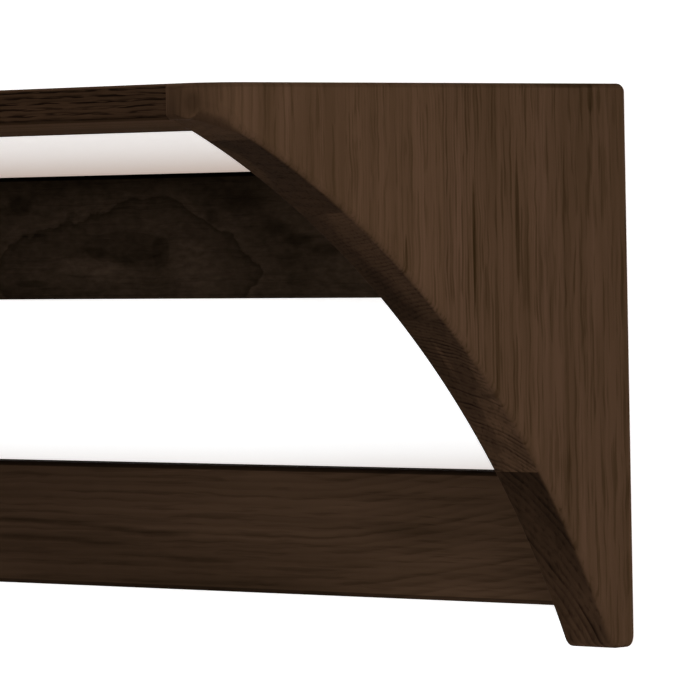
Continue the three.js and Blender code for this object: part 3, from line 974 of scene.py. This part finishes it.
class Board(NamedTuple):
    """How a board was sawn from the log and how its figure shows."""

    grain: str = "z"  # the axis that the grain runs along
    pith_turn: float = 90.0  # direction of the pith from the board, in degrees about the grain
    pith_distance: float = 0.12
    ring: float = 0.003  # spacing of the growth rings
    waves: float = 0.002
    tone: float = 1.0  # of the broad faces, against the mean colour
    # the sawn edges' tone is partly painted shade: on the rails' top faces, and where the arch turns
    # down on the brackets
    rim_tones: tuple = (0.7, 0.7)  # of the sawn edges at the wall and at the front
    rings: float = 0.15  # how dark the rings are on the broad faces
    rim_rings: float = 0.35  # and on the sawn edges
    pores: float = 0.34  # how dark the pores are
    rim_pores: float = 0.3
    pore_width: float = 0.0022
    pore_length: float = 0.05
    pore_start: float = 0.5  # lower where more pores show
    pore_spread: float = 0.6  # how much of them lies outside the porous bands
    streaks: float = 1.0  # how strong the streaks along the grain are
    streak_width: float = 0.011
    clouds: float = 0.25  # how strong the broad soft patches are
    cloud_width: float = 0.02
    cloud_length: float = 6.0  # against its width
    wander: float = 0.0034  # how far the lines stray sideways
    along: float = 0.0  # where in its log's length the board was cut
    lift: tuple = (0.0, 0.0, 1.0)  # how far the rings rise along the grain, from where to where
    arris: float = 0.15  # how dark the marked roundings are
    patches: tuple = ()
    fade: tuple = ()  # tone along the wall: from where to where, and the tone at each
    warmth: float = 0.3  # how much warmer the colour gets as it darkens
    specular: float = 0.003  # how bright the sheen is
    flame: tuple = ()  # centre, reach to the left, right and up, raggedness and strength


def oak_material(name, colour, board, node):
    """Stained oak for one board of the frame.

    The board's middle is placed in its log, so that the rings cross it as it was sawn. The tone
    is the product of the board's own, what the sawn edges and the darkened roundings change, and
    the fade along the wall. On the rails the darkened roundings and top faces are painted shade
    under the shelf. The marks are the product of its patches and its flame figure.
    """
    low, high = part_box(node)
    middle = (low + high) / 2
    material, w = new_material(name)
    place = w.node("ShaderNodeTexCoord").outputs["Object"]

    turn = math.radians(board.pith_turn)
    rotation = (0.0, 0.0, 0.0)
    if board.grain == "x":
        rotation = GRAIN_TURN
        middle = Vector((-middle.z, middle.y, middle.x))
    pith = middle + Vector((math.cos(turn), math.sin(turn), 0.0)) * board.pith_distance
    in_log = w.node("ShaderNodeMapping", {
        "Vector": place, "Location": (-pith.x, -pith.y, board.along), "Rotation": rotation})
    lift, lift_from, lift_to = board.lift
    figure = w.node("ShaderNodeGroup", {
        "Vector": in_log.outputs["Vector"],
        "Ring Spacing": board.ring, "Waves": board.waves, "Wander": board.wander,
        "Lift": lift, "Lift From": lift_from + board.along, "Lift To": lift_to + board.along,
        "Pore Width": board.pore_width, "Pore Length": board.pore_length,
        "Pore Start": board.pore_start, "Pore Spread": board.pore_spread,
        "Streak Width": board.streak_width,
        "Cloud Width": board.cloud_width, "Cloud Length": board.cloud_length,
    }, node_tree=group("Wood figure")).outputs

    rim = w.node("ShaderNodeAttribute", attribute_name="rim").outputs["Fac"]
    arris = w.node("ShaderNodeAttribute", attribute_name="arris").outputs["Fac"]
    # Tone of the sawn edges from the wall to the front: painted shade on the rails' top faces, and
    # partly painted shade on the lower bracket staves, where the arch turns down
    rim_tone = w.span(w.split(place)["Y"], high.y, low.y, *board.rim_tones)
    tone = w.math("MULTIPLY_ADD", rim, w.math("SUBTRACT", rim_tone, 1.0), 1.0)
    tone = w.math("MULTIPLY", tone, board.tone)
    # Darkens the marked roundings; on the rails this is painted shade where their edges turn away
    # from the light under the shelf
    tone = w.math("MULTIPLY", tone, w.span(arris, 0.0, 1.0, 1.0, 1.0 - board.arris))
    if board.fade:
        tone = w.math("MULTIPLY", tone, w.span(w.split(place)["X"], *board.fade, smooth=True))
    marks = 1.0
    for patch in board.patches:
        mask = w.node("ShaderNodeGroup", {
            "Vector": place, "Centre": patch.centre, "Half Sizes": patch.half_sizes,
            "Softness": patch.softness}, node_tree=group("Ragged patch")).outputs["Mask"]
        if patch.sawn:
            mask = w.math("MULTIPLY", mask, rim)
        marks = w.math("MULTIPLY", w.span(mask, 0.0, 1.0, 1.0, 1.0 - patch.depth), marks)
    if board.flame:
        centre, leftward, rightward, height, raggedness, strength = board.flame
        flame = w.node("ShaderNodeGroup", {
            "Vector": place, "Centre": centre, "Left": leftward, "Right": rightward,
            "Height": height, "Raggedness": raggedness}, node_tree=group("Flame figure"))
        marks = w.math("MULTIPLY", w.span(
            flame.outputs["Tone"], 0.0, 1.0, 1.0 - strength, 1.0 + strength), marks)

    stained = w.node("ShaderNodeGroup", {
        "Colour": w.tint((*colour,), tone),
        "Rings": figure["Rings"],
        "Ring Depth": w.span(rim, 0.0, 1.0, board.rings, board.rim_rings),
        "Pores": figure["Pores"],
        "Pore Depth": w.span(rim, 0.0, 1.0, board.pores, board.rim_pores),
        "Streaks": figure["Streaks"], "Streak Depth": board.streaks,
        "Clouds": figure["Clouds"], "Cloud Depth": board.clouds,
        "Marks": marks,
        "Warmth": w.span(rim, 0.0, 1.0, board.warmth, 0.0),
    }, node_tree=group("Stained wood")).outputs
    bump = w.node("ShaderNodeBump", {**OAK_BUMP, "Height": stained["Height"]})
    shader = w.node("ShaderNodeBsdfPrincipled", {
        "Base Color": stained["Colour"],
        "Roughness": stained["Roughness"],
        "Specular IOR Level": board.specular,
        "Normal": bump.outputs["Normal"],
    })
    w.node("ShaderNodeOutputMaterial", {"Surface": shader.outputs["BSDF"]})
    return material


BRACKET_BOARDS = {
    1: Board(pith_turn=141, pith_distance=0.16, ring=0.0042, tone=0.95,
             # rim_tones: the sawn edge darkens towards the front, where the arch turns down: end
             # grain's own darkness, and partly painted shade
             rim_tones=(1.14, 0.42), rings=0.2, rim_rings=0.8, patches=(
                 # the short dark mark below the top edge
                 Patch((0.4, -0.0285, 0.07), (0.012, 0.0026, 0.01), 0.4),
                 Patch((0.4, -0.0215, 0.069), (0.012, 0.0018, 0.009), 0.32),
                 Patch((0.4, -0.0285, 0.05), (0.012, 0.0016, 0.028), 0.22),
                 Patch((0.401, -0.048, 0.079), (0.009, 0.05, 0.0045), 0.34),
                 # broad light and dark, then the dark of the sawn edge
                 Patch((0.4, -0.056, 0.0), (0.03, 0.01, 0.16), -0.09, 1.0),
                 Patch((0.4, -0.036, 0.04), (0.03, 0.015, 0.09), 0.1, 1.0),
                 Patch((0.402, -0.055, -0.2), (0.018, 0.028, 0.2), 0.22, sawn=True))),
    2: Board(pith_turn=108, pith_distance=0.14, ring=0.0021, waves=0.0012,
             # rim_tones: the sawn edge darkens towards the front, where the arch turns down: end
             # grain's own darkness, and partly painted shade
             rim_tones=(0.95, 0.57), rings=0.28, rim_rings=0.85, patches=(
                 # long dark lines
                 Patch((0.4, -0.1225, -0.006), (0.02, 0.0017, 0.038), 0.5),
                 Patch((0.4, -0.106, -0.058), (0.02, 0.0018, 0.05), 0.3),
                 Patch((0.4, -0.0885, 0.003), (0.02, 0.0019, 0.04), 0.5),
                 # broad light and dark
                 Patch((0.4, -0.136, -0.01), (0.03, 0.018, 0.13), -0.13, 1.0),
                 Patch((0.4, -0.107, 0.055), (0.03, 0.016, 0.075), 0.14, 1.0),
                 Patch((0.4, -0.083, 0.02), (0.03, 0.01, 0.12), 0.06, 1.0),
                 # the light strip, a painted highlight along the outer edge, a light streak and the
                 # dark side of the sawn edge
                 Patch((0.412, -0.058, -0.1), (0.036, 0.072, 0.5), -0.28, 0.04, True),
                 Patch((0.396, -0.114, -0.07), (0.0045, 0.017, 0.2), -0.3, 0.6, True),
                 Patch((0.38, -0.124, -0.07), (0.0022, 0.014, 0.2), -0.45, 0.5, True),
                 Patch((0.373, -0.113, -0.07), (0.015, 0.022, 0.2), 0.2, 0.6, True))),
    3: Board(pith_turn=80, pith_distance=0.2, ring=0.0023, waves=0.0012, tone=1.08,
             rim_tones=(0.36, 0.45), rings=0.25, rim_rings=0.45, pores=0.26, pore_width=0.0016,
             patches=(
                 Patch((0.4, -0.175, -0.011), (0.02, 0.0011, 0.012), 0.5),
                 Patch((0.4, -0.156, -0.01), (0.03, 0.026, 0.14), -0.12, 1.0),
                 Patch((0.402, -0.19, 0.0), (0.026, 0.064, 0.2), -0.62, sawn=True),
                 Patch((0.378, -0.168, -0.03), (0.01, 0.015, 0.2), 0.26, 0.7, True))),
    4: Board(pith_turn=95, pith_distance=0.11, ring=0.006, tone=1.05,
             rim_tones=(0.44, 0.31), rings=0.2, rim_rings=0.3, pores=0.24, pore_width=0.0016,
             streaks=0.8, patches=(
                 Patch((0.4, -0.255, 0.04), (0.03, 0.012, 0.06), 0.07, 1.0),
                 Patch((0.385, -0.293, 0.06), (0.06, 0.0085, 0.03), -1.0, 0.2, sawn=True),
                 Patch((0.371, -0.262, 0.05), (0.006, 0.02, 0.2), -0.5, sawn=True))),
    5: Board(pith_turn=70, pith_distance=0.13, ring=0.005, tone=1.1,
             rim_tones=(0.73, 0.63), rings=0.12, rim_rings=0.2, pores=0.2, rim_pores=0.1,
             pore_width=0.0016, streaks=0.6, warmth=0.1, patches=(
                 Patch((0.385, -0.31, 0.066), (0.03, 0.03, 0.04), 0.07, 0.6),
                 Patch((0.3835, -0.312, 0.068), (0.006, 0.008, 0.008), 0.32, 0.6))),
}
SHELF_BOARD = Board(
    grain="x", pith_turn=60, pith_distance=0.1, ring=0.0025, waves=0.0012, tone=0.95,
    rim_tones=(0.8, 0.8), rim_rings=0.25, pores=0.12, rim_pores=0.85,
    pore_width=0.0008, pore_length=0.016, pore_start=0.4, pore_spread=0.16, wander=0.0012,
    arris=0.42, specular=0.0002)
SHELF_TURNS = {1: 75, 2: 118, 3: 96, 4: 12}  # which way each stave's pith lies
SHELF_TONES = {1: 1.06, 2: 0.94, 3: 1.03, 4: 1.0}
SHELF_JOINT_PORES = 0.4  # on the staves whose edges are glued, which hardly show
SHELF_LOG_STEP = 1.1  # each stave comes from another place in the log
LEFT_LOG_PLACE = 1.3  # so does the left bracket
UPPER_RAIL_BOARD = Board(
    # rim_tones: darker top and bottom faces; on the top face this is painted shade under the shelf
    grain="x", pith_distance=0.06, ring=0.005, waves=0.006, rim_tones=(0.3, 0.3),
    rings=0.1, rim_rings=0.2, pores=0.12, streaks=0.2, clouds=1.0, cloud_width=0.003,
    # arris: painted shade along the top edges, under the shelf
    cloud_length=2.2, arris=0.85, patches=(
        # the eye in the middle of the figure
        rail_mark(0.042, -0.006, 0.036, 0.0095, 0.28, 0.1),
        rail_mark(0.011, -0.009, 0.021, 0.004, 0.18, 0.3),
        rail_mark(0.071, -0.009, 0.0075, 0.0105, 0.24, 0.2),
        rail_mark(0.055, -0.0135, 0.02, 0.0045, 0.2, 0.2),
        # the light wood below and beside it
        rail_mark(0.013, -0.0165, 0.03, 0.006, -0.3, 0.3),
        rail_mark(0.034, -0.022, 0.026, 0.006, -0.25, 0.4),
        rail_mark(0.096, -0.018, 0.026, 0.019, -0.35, 0.6),
        # painted shade along the upper edge, under the shelf; dark spots on the growth ring and the
        # dark lower left
        rail_mark(0.0, 0.0365, 1.0, 0.0185, 0.66, 1.0),
        rail_mark(0.106, 0.0225, 0.014, 0.008, 0.22, 0.6),
        rail_mark(0.112, 0.0105, 0.0075, 0.0055, 0.34, 0.5),
        rail_mark(-0.04, -0.037, 0.12, 0.014, 0.3, 1.0),
        # the dark band that falls away to the right
        rail_mark(0.134, 0.0195, 0.034, 0.0095, 0.42, 0.8),
        rail_mark(0.161, 0.0045, 0.012, 0.006, 0.34, 0.6),
        rail_mark(0.179, -0.003, 0.014, 0.0045, 0.36, 0.5),
        rail_mark(0.201, -0.0085, 0.02, 0.0048, 0.38, 0.5),
        # short marks on the left
        rail_mark(-0.043, 0.019, 0.011, 0.0065, 0.42, 0.4),
        rail_mark(0.0, 0.013, 0.0055, 0.002, 0.32, 0.3),
        rail_mark(-0.032, 0.0015, 0.012, 0.0015, 0.36, 0.3),
        rail_mark(-0.034, -0.0265, 0.016, 0.0025, 0.32, 0.3)),
    flame=((0.07, RAIL_MIDDLE, -0.021), 0.145, 0.08, 0.046, 0.34, 0.72),
    fade=(0.1, 0.24, 1.0, 1.2), warmth=0.1, specular=0.001)
LOWER_RAIL_BOARD = Board(
    # rim_tones: darker top and bottom faces; on the top face this is painted shade under the shelf
    grain="x", pith_turn=0, ring=0.0046, waves=0.006, rim_tones=(0.3, 0.3),
    # arris: painted shade along the top edges and the lower front edge
    rings=0.36, rim_rings=0.2, pores=0.22, streaks=0.9, arris=0.7, lift=(-0.03, 0.17, 0.42),
    patches=(
        # broad light and dark
        rail_mark(0.06, -0.15, 0.2, 0.033, -0.14, 1.0),
        rail_mark(0.1, -0.204, 0.22, 0.036, 0.32, 1.0),
        rail_mark(0.32, -0.19, 0.1, 0.03, -0.12, 1.0),
        # two dark lines that fall to the right, and a short one
        rail_mark(-0.05, -0.164, 0.034, 0.002, 0.4, 0.7),
        rail_mark(-0.006, -0.165, 0.034, 0.002, 0.34, 0.7),
        rail_mark(0.032, -0.1665, 0.026, 0.002, 0.32, 0.7),
        rail_mark(0.064, -0.169, 0.033, 0.0025, 0.4, 0.7),
        rail_mark(-0.05, -0.1735, 0.036, 0.0025, 0.38, 0.7),
        rail_mark(-0.01, -0.174, 0.03, 0.002, 0.36, 0.7),
        rail_mark(0.017, -0.1755, 0.026, 0.002, 0.34, 0.7),
        rail_mark(0.097, -0.183, 0.038, 0.002, 0.3, 0.7),
        # a light streak, and darker wood under it
        rail_mark(0.21, -0.15, 0.05, 0.0045, -0.2, 0.8),
        rail_mark(0.265, -0.165, 0.05, 0.009, 0.2, 1.0)),
    fade=(-0.05, 0.3, 0.93, 1.36), wander=0.0022, warmth=0.1, specular=0.001)
RAIL_BOARDS = {"upper_rail": UPPER_RAIL_BOARD, "lower_rail": LOWER_RAIL_BOARD}


def metal_material(name, colour, roughness):
    """Plated metal: faint brushed streaks and cloudy patches in colour and roughness."""
    material, w = new_material(name)
    place = w.node("ShaderNodeTexCoord").outputs["Object"]
    brushed = w.noise(w.vector_math("MULTIPLY", place, BRUSHED_SCALE))
    cloudy = w.noise(w.vector_math("MULTIPLY", place, CLOUDY_SCALE), detail=3.0)
    shade = w.math("MULTIPLY_ADD", cloudy, METAL_SHADE, 1 - METAL_SHADE / 2)
    rough = w.math("MULTIPLY_ADD", w.math("ADD", brushed, cloudy), METAL_ROUGHNESS,
                   roughness - METAL_ROUGHNESS)
    bump = w.node("ShaderNodeBump", {**METAL_BUMP, "Height": brushed})
    shader = w.node("ShaderNodeBsdfPrincipled", {
        "Base Color": w.tint((*colour,), shade), "Metallic": 1.0, "Roughness": rough,
        "Normal": bump.outputs["Normal"]})
    w.node("ShaderNodeOutputMaterial", {"Surface": shader.outputs["BSDF"]})
    return material


def beech_material(name, colour):
    """Pale close-grained wood for the dowels, whose grain runs along each dowel."""
    material, w = new_material(name)
    place = w.node("ShaderNodeTexCoord").outputs["Object"]
    in_log = w.node("ShaderNodeMapping", {"Vector": place, "Rotation": GRAIN_TURN})
    figure = w.node("ShaderNodeGroup", {
        "Vector": in_log.outputs["Vector"], "Ring Spacing": 0.0016, "Pore Width": 0.0003,
        "Pore Length": 0.0015, "Streak Width": 0.002, "Cloud Width": 0.01,
    }, node_tree=group("Wood figure")).outputs
    stained = w.node("ShaderNodeGroup", {
        "Colour": (*colour, 1.0), "Pore Depth": 0.25, "Rings": figure["Rings"],
        "Pores": figure["Pores"], "Streaks": figure["Streaks"], "Clouds": figure["Clouds"],
    }, node_tree=group("Stained wood")).outputs
    bump = w.node("ShaderNodeBump", {**BEECH_BUMP, "Height": stained["Height"]})
    shader = w.node("ShaderNodeBsdfPrincipled", {
        "Base Color": stained["Colour"], "Roughness": stained["Roughness"],
        "Normal": bump.outputs["Normal"]})
    w.node("ShaderNodeOutputMaterial", {"Surface": shader.outputs["BSDF"]})
    return material


# ---------------------------------------------------------------- operators

class RACK_OT_brackets(bpy.types.Operator):
    """Make both brackets, stave by stave"""

    bl_idname = "luggage_rack.brackets"
    bl_label = "Make brackets"

    def execute(self, context):
        scene = context.scene
        for side in SIDES:
            for number, board in BRACKET_BOARDS.items():
                node = f"{side}_bracket_stave_{number}"
                piece = bracket_stave(node, side, scene.rack_sizes)
                cut_away(piece, dowel_bores(node))
                if side == "left":
                    board = board._replace(
                        pith_turn=180 - board.pith_turn, along=LEFT_LOG_PLACE)
                material = oak_material(
                    f"{side} bracket oak {number}", scene.rack_finish.bracket_stain, board, node)
                finish_piece(piece, "bracket_oak", material, node)
        return {"FINISHED"}


class RACK_OT_shelf(bpy.types.Operator):
    """Make the shelf board, stave by stave"""

    bl_idname = "luggage_rack.shelf"
    bl_label = "Make shelf"

    def execute(self, context):
        scene = context.scene
        arris = scene.rack_sizes.shelf_arris
        nodes = sorted(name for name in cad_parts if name.startswith("shelf_stave_"))
        for number, node in enumerate(nodes, 1):
            board = SHELF_BOARD._replace(
                pith_turn=SHELF_TURNS[number], tone=SHELF_BOARD.tone * SHELF_TONES[number])
            back = front = 0.0
            if node == nodes[0]:
                back = arris / 2
            if node == nodes[-1]:
                front = arris
            else:
                board = board._replace(
                    along=number * SHELF_LOG_STEP, rim_pores=SHELF_JOINT_PORES)
            piece = long_board(
                node.replace("stave", "board"), node, 2, (front, back, back, front), SHELF_EDGE_DARKENING)
            cut_away(piece, dowel_bores(node))
            material = oak_material(f"{node} oak", scene.rack_finish.shelf_stain, board, node)
            finish_piece(piece, "shelf_oak", material, node)
        return {"FINISHED"}


class RACK_OT_rails(bpy.types.Operator):
    """Make the two rails"""

    bl_idname = "luggage_rack.rails"
    bl_label = "Make rails"

    def execute(self, context):
        scene = context.scene
        arris = scene.rack_sizes.rail_arris
        for node, board in RAIL_BOARDS.items():
            piece = long_board(
                f"{node}_board", node, 1, (arris / 2, arris / 2, arris, arris), RAIL_PAINTED_EDGE_SHADE[node])
            cuts = hanger_cuts() if node == "upper_rail" else []
            cut_away(piece, dowel_bores(node) + cuts)
            colour = getattr(scene.rack_finish, f"{node}_stain")
            material = oak_material(f"{node} oak", colour, board, node)
            finish_piece(piece, f"{node}_oak", material, node)
        return {"FINISHED"}


class RACK_OT_fixings(bpy.types.Operator):
    """Finish the hanger plates, their screws and the dowels"""

    bl_idname = "luggage_rack.fixings"
    bl_label = "Finish fixings"

    def execute(self, context):
        finish = context.scene.rack_finish
        zinc = metal_material("bright zinc", finish.zinc, roughness=0.38)
        steel = metal_material("yellow passivated steel", finish.screw_steel, roughness=0.34)
        beech = beech_material("beech", finish.beech)
        for name, node in list(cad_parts.items()):
            if "plate" in name:
                plate = keyhole_plate(name.replace("hanger", "keyhole"), name)
                finish_piece(plate, "zinc_plate", zinc, name)
            elif "screw" in name:
                screw = wood_screw(name.replace("hanger", "wood"), name)
                finish_piece(screw, "screw_steel", steel, name)
            elif "dowel" in name:
                node.data.materials[0] = beech
        return {"FINISHED"}


WHITE = (1.0, 1.0, 1.0, 1.0)
BACKDROP_REACH = 9.0  # how far the floor and the wall run to each side
WALL_HEIGHT = 6.0
FLOOR_FINISH = {"paleness": 0.75, "glow": 0.75, "for_camera_alone": False}
WALL_FINISH = {"paleness": 0.9, "glow": 0.83, "for_camera_alone": True}
PLASTER_DEPTH = 0.02  # how much the backdrop's colour varies
SHADE_COLOUR = (0.55, 0.43, 0.36, 1.0)  # of the wall right behind the rack
SHADE_REACH = 0.25
SHADE_SAMPLES = 8
SHADE_SPAN = (0.05, 0.56)  # how open a place is where the shade is full, and where it ends
CAMERA_AIM = (-0.0196, -0.1975, -0.1358)  # from the right bracket's top corner at the wall
SENSOR_WIDTH = 36.0  # millimetres
VIEW_END = 60.0
LAMPS = (  # name, place, size and the setting that holds its power
    ("Key lamp", (4.1, -1.1, 1.3), 2.4, "key"),
    ("Fill lamp", (-1.2, -4.2, 0.9), 2.6, "fill"),
    ("Top lamp", (-1.7, -0.36, 2.3), 1.6, "top"),
)


def flat_sheet(name, corners):
    """A flat four-sided sheet, which faces the side from which its corners run anticlockwise."""
    mesh = bpy.data.meshes.new(name)
    mesh.from_pydata(corners, [], [(0, 1, 2, 3)])
    sheet = bpy.data.objects.new(name, mesh)
    bpy.context.scene.collection.objects.link(sheet)
    return sheet


def backdrop_material(name, paleness, glow, for_camera_alone):
    """Pale matt backdrop, clear from behind.

    To the camera it glows a little, so that only its shadows are darker than white, and the glow
    takes a warm shade where the rack stands close over it. Where it is there for the camera
    alone, it is clear to all other light too.
    """
    material, w = new_material(name)
    path = w.node("ShaderNodeLightPath").outputs
    seen = seen_by_camera(w, path)
    straight = path["Is Camera Ray"]
    place = w.node("ShaderNodeTexCoord").outputs["Object"]
    plaster = w.noise(w.vector_math("MULTIPLY", place, PLASTER_SCALE), detail=3.0)
    varied = w.math("MULTIPLY_ADD", plaster, PLASTER_DEPTH, 1 - PLASTER_DEPTH / 2)
    matt = w.node("ShaderNodeBsdfDiffuse", {"Color": w.tint((paleness,) * 3, varied)})
    openness = w.node(
        "ShaderNodeAmbientOcclusion", {"Distance": SHADE_REACH}, samples=SHADE_SAMPLES)
    shade = w.node("ShaderNodeMix", {  # in a colour mix, inputs 6 and 7 are the two colours
        0: w.span(openness.outputs["AO"], *SHADE_SPAN), 6: SHADE_COLOUR, 7: WHITE},
        data_type="RGBA").outputs[2]
    light = w.node("ShaderNodeEmission", {
        "Color": shade, "Strength": w.math("MULTIPLY", seen, glow)})
    surface = w.node("ShaderNodeAddShader", {
        0: matt.outputs["BSDF"], 1: light.outputs["Emission"]})
    behind = w.node("ShaderNodeNewGeometry").outputs["Backfacing"]
    if for_camera_alone:
        hidden = w.math("SUBTRACT", 1.0, w.math(
            "MULTIPLY", straight, w.math("SUBTRACT", 1.0, behind)))
    else:
        hidden = w.math("MULTIPLY", straight, behind)
    clear = w.node("ShaderNodeBsdfTransparent").outputs["BSDF"]
    mixed = w.node("ShaderNodeMixShader", {0: hidden, 1: surface.outputs[0], 2: clear})
    w.node("ShaderNodeOutputMaterial", {"Surface": mixed.outputs[0]})
    return material


def soft_lamp(name, place, target, size, power):
    """A large square lamp that shines from a place towards a target."""
    data = bpy.data.lights.new(name, "AREA")
    data.size = size
    data.energy = power
    lamp = bpy.data.objects.new(name, data)
    lamp.location = place
    lamp.rotation_euler = (target - place).to_track_quat("-Z", "Y").to_euler()
    bpy.context.scene.collection.objects.link(lamp)


def studio_world(sky):
    """White to the camera and in reflections, and an even soft light to everything else."""
    world = bpy.data.worlds.new("Studio")
    world.use_nodes = True
    tree = world.node_tree
    tree.nodes.clear()
    w = Wiring(tree)
    seen = seen_by_camera(w, w.node("ShaderNodeLightPath").outputs)
    even = w.node("ShaderNodeBackground", {"Color": WHITE, "Strength": sky})
    white = w.node("ShaderNodeBackground", {"Color": WHITE, "Strength": 1.0})
    mixed = w.node("ShaderNodeMixShader", {0: seen, 1: even.outputs[0], 2: white.outputs[0]})
    w.node("ShaderNodeOutputWorld", {"Surface": mixed.outputs[0]})
    return world


def studio_camera(studio):
    """A camera at the set azimuth, elevation and roll, aimed below the right bracket's top."""
    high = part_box("right_bracket_stave_1")[1]
    aim = Vector((high.x, 0.0, high.z)) + Vector(CAMERA_AIM)
    turn, rise, roll = studio.azimuth, studio.elevation, studio.roll
    ahead = Vector((-math.sin(turn) * math.cos(rise), math.cos(turn) * math.cos(rise),
                    -math.sin(rise)))
    right = Vector((math.cos(turn), math.sin(turn), 0.0))
    up = right.cross(ahead)
    rolled_right = math.cos(roll) * right + math.sin(roll) * up
    rolled_up = math.cos(roll) * up - math.sin(roll) * right
    data = bpy.data.cameras.new("Camera")
    data.sensor_width = SENSOR_WIDTH
    data.lens = studio.lens
    data.clip_end = VIEW_END
    camera = bpy.data.objects.new("Camera", data)
    axes = Matrix((rolled_right, rolled_up, -ahead)).transposed().to_4x4()
    camera.matrix_world = Matrix.Translation(aim - ahead * studio.distance) @ axes
    bpy.context.scene.collection.objects.link(camera)
    return camera


class RACK_OT_studio(bpy.types.Operator):
    """Set up the wall, the floor, the lamps and the camera"""

    bl_idname = "luggage_rack.studio"
    bl_label = "Set up studio"

    def execute(self, context):
        scene = context.scene
        studio = scene.rack_studio
        reach = BACKDROP_REACH
        floor_level = RACK_FOOT - studio.floor_drop
        floor = flat_sheet("Floor", [
            (-reach, -reach, floor_level), (reach, -reach, floor_level),
            (reach, reach, floor_level), (-reach, reach, floor_level)])
        floor.data.materials.append(backdrop_material("pale floor", **FLOOR_FINISH))
        wall_top = floor_level + WALL_HEIGHT
        wall = flat_sheet("Wall", [
            (-reach, 0.0, floor_level), (reach, 0.0, floor_level),
            (reach, 0.0, wall_top), (-reach, 0.0, wall_top)])
        wall.data.materials.append(backdrop_material("white wall", **WALL_FINISH))
        middle = (cad_box[0] + cad_box[1]) / 2
        for name, place, size, setting in LAMPS:
            soft_lamp(name, Vector(place), middle, size, getattr(studio, setting))
        scene.world = studio_world(studio.sky)
        scene.camera = studio_camera(studio)
        scene.view_settings.view_transform = "Standard"
        return {"FINISHED"}


class RACK_PT_panel(bpy.types.Panel):
    """Lists what can be made and set"""

    bl_idname = "RACK_PT_panel"
    bl_label = "Wall luggage rack"
    bl_space_type = "VIEW_3D"
    bl_region_type = "UI"
    bl_category = "Rack"

    def draw(self, context):
        for settings in (context.scene.rack_sizes, context.scene.rack_finish,
                         context.scene.rack_studio):
            box = self.layout.box()
            for label in settings.__annotations__:
                box.prop(settings, label)
        for operator in OPERATORS:
            self.layout.operator(operator.bl_idname)


SETTINGS = {"rack_sizes": RackSizes, "rack_finish": RackFinish, "rack_studio": RackStudio}
OPERATORS = (RACK_OT_brackets, RACK_OT_shelf, RACK_OT_rails, RACK_OT_fixings, RACK_OT_studio)


def register():
    for cls in (*SETTINGS.values(), *OPERATORS, RACK_PT_panel):
        bpy.utils.register_class(cls)
    for label, cls in SETTINGS.items():
        setattr(bpy.types.Scene, label, bpy.props.PointerProperty(type=cls))


def unregister():
    for label in SETTINGS:
        delattr(bpy.types.Scene, label)
    for cls in reversed((*SETTINGS.values(), *OPERATORS, RACK_PT_panel)):
        bpy.utils.unregister_class(cls)


def main():
    register()
    bpy.ops.luggage_rack.brackets()
    bpy.ops.luggage_rack.shelf()
    bpy.ops.luggage_rack.rails()
    bpy.ops.luggage_rack.fixings()
    bpy.ops.luggage_rack.studio()
    bpy.context.view_layer.update()


if __name__ == "__main__":
    main()
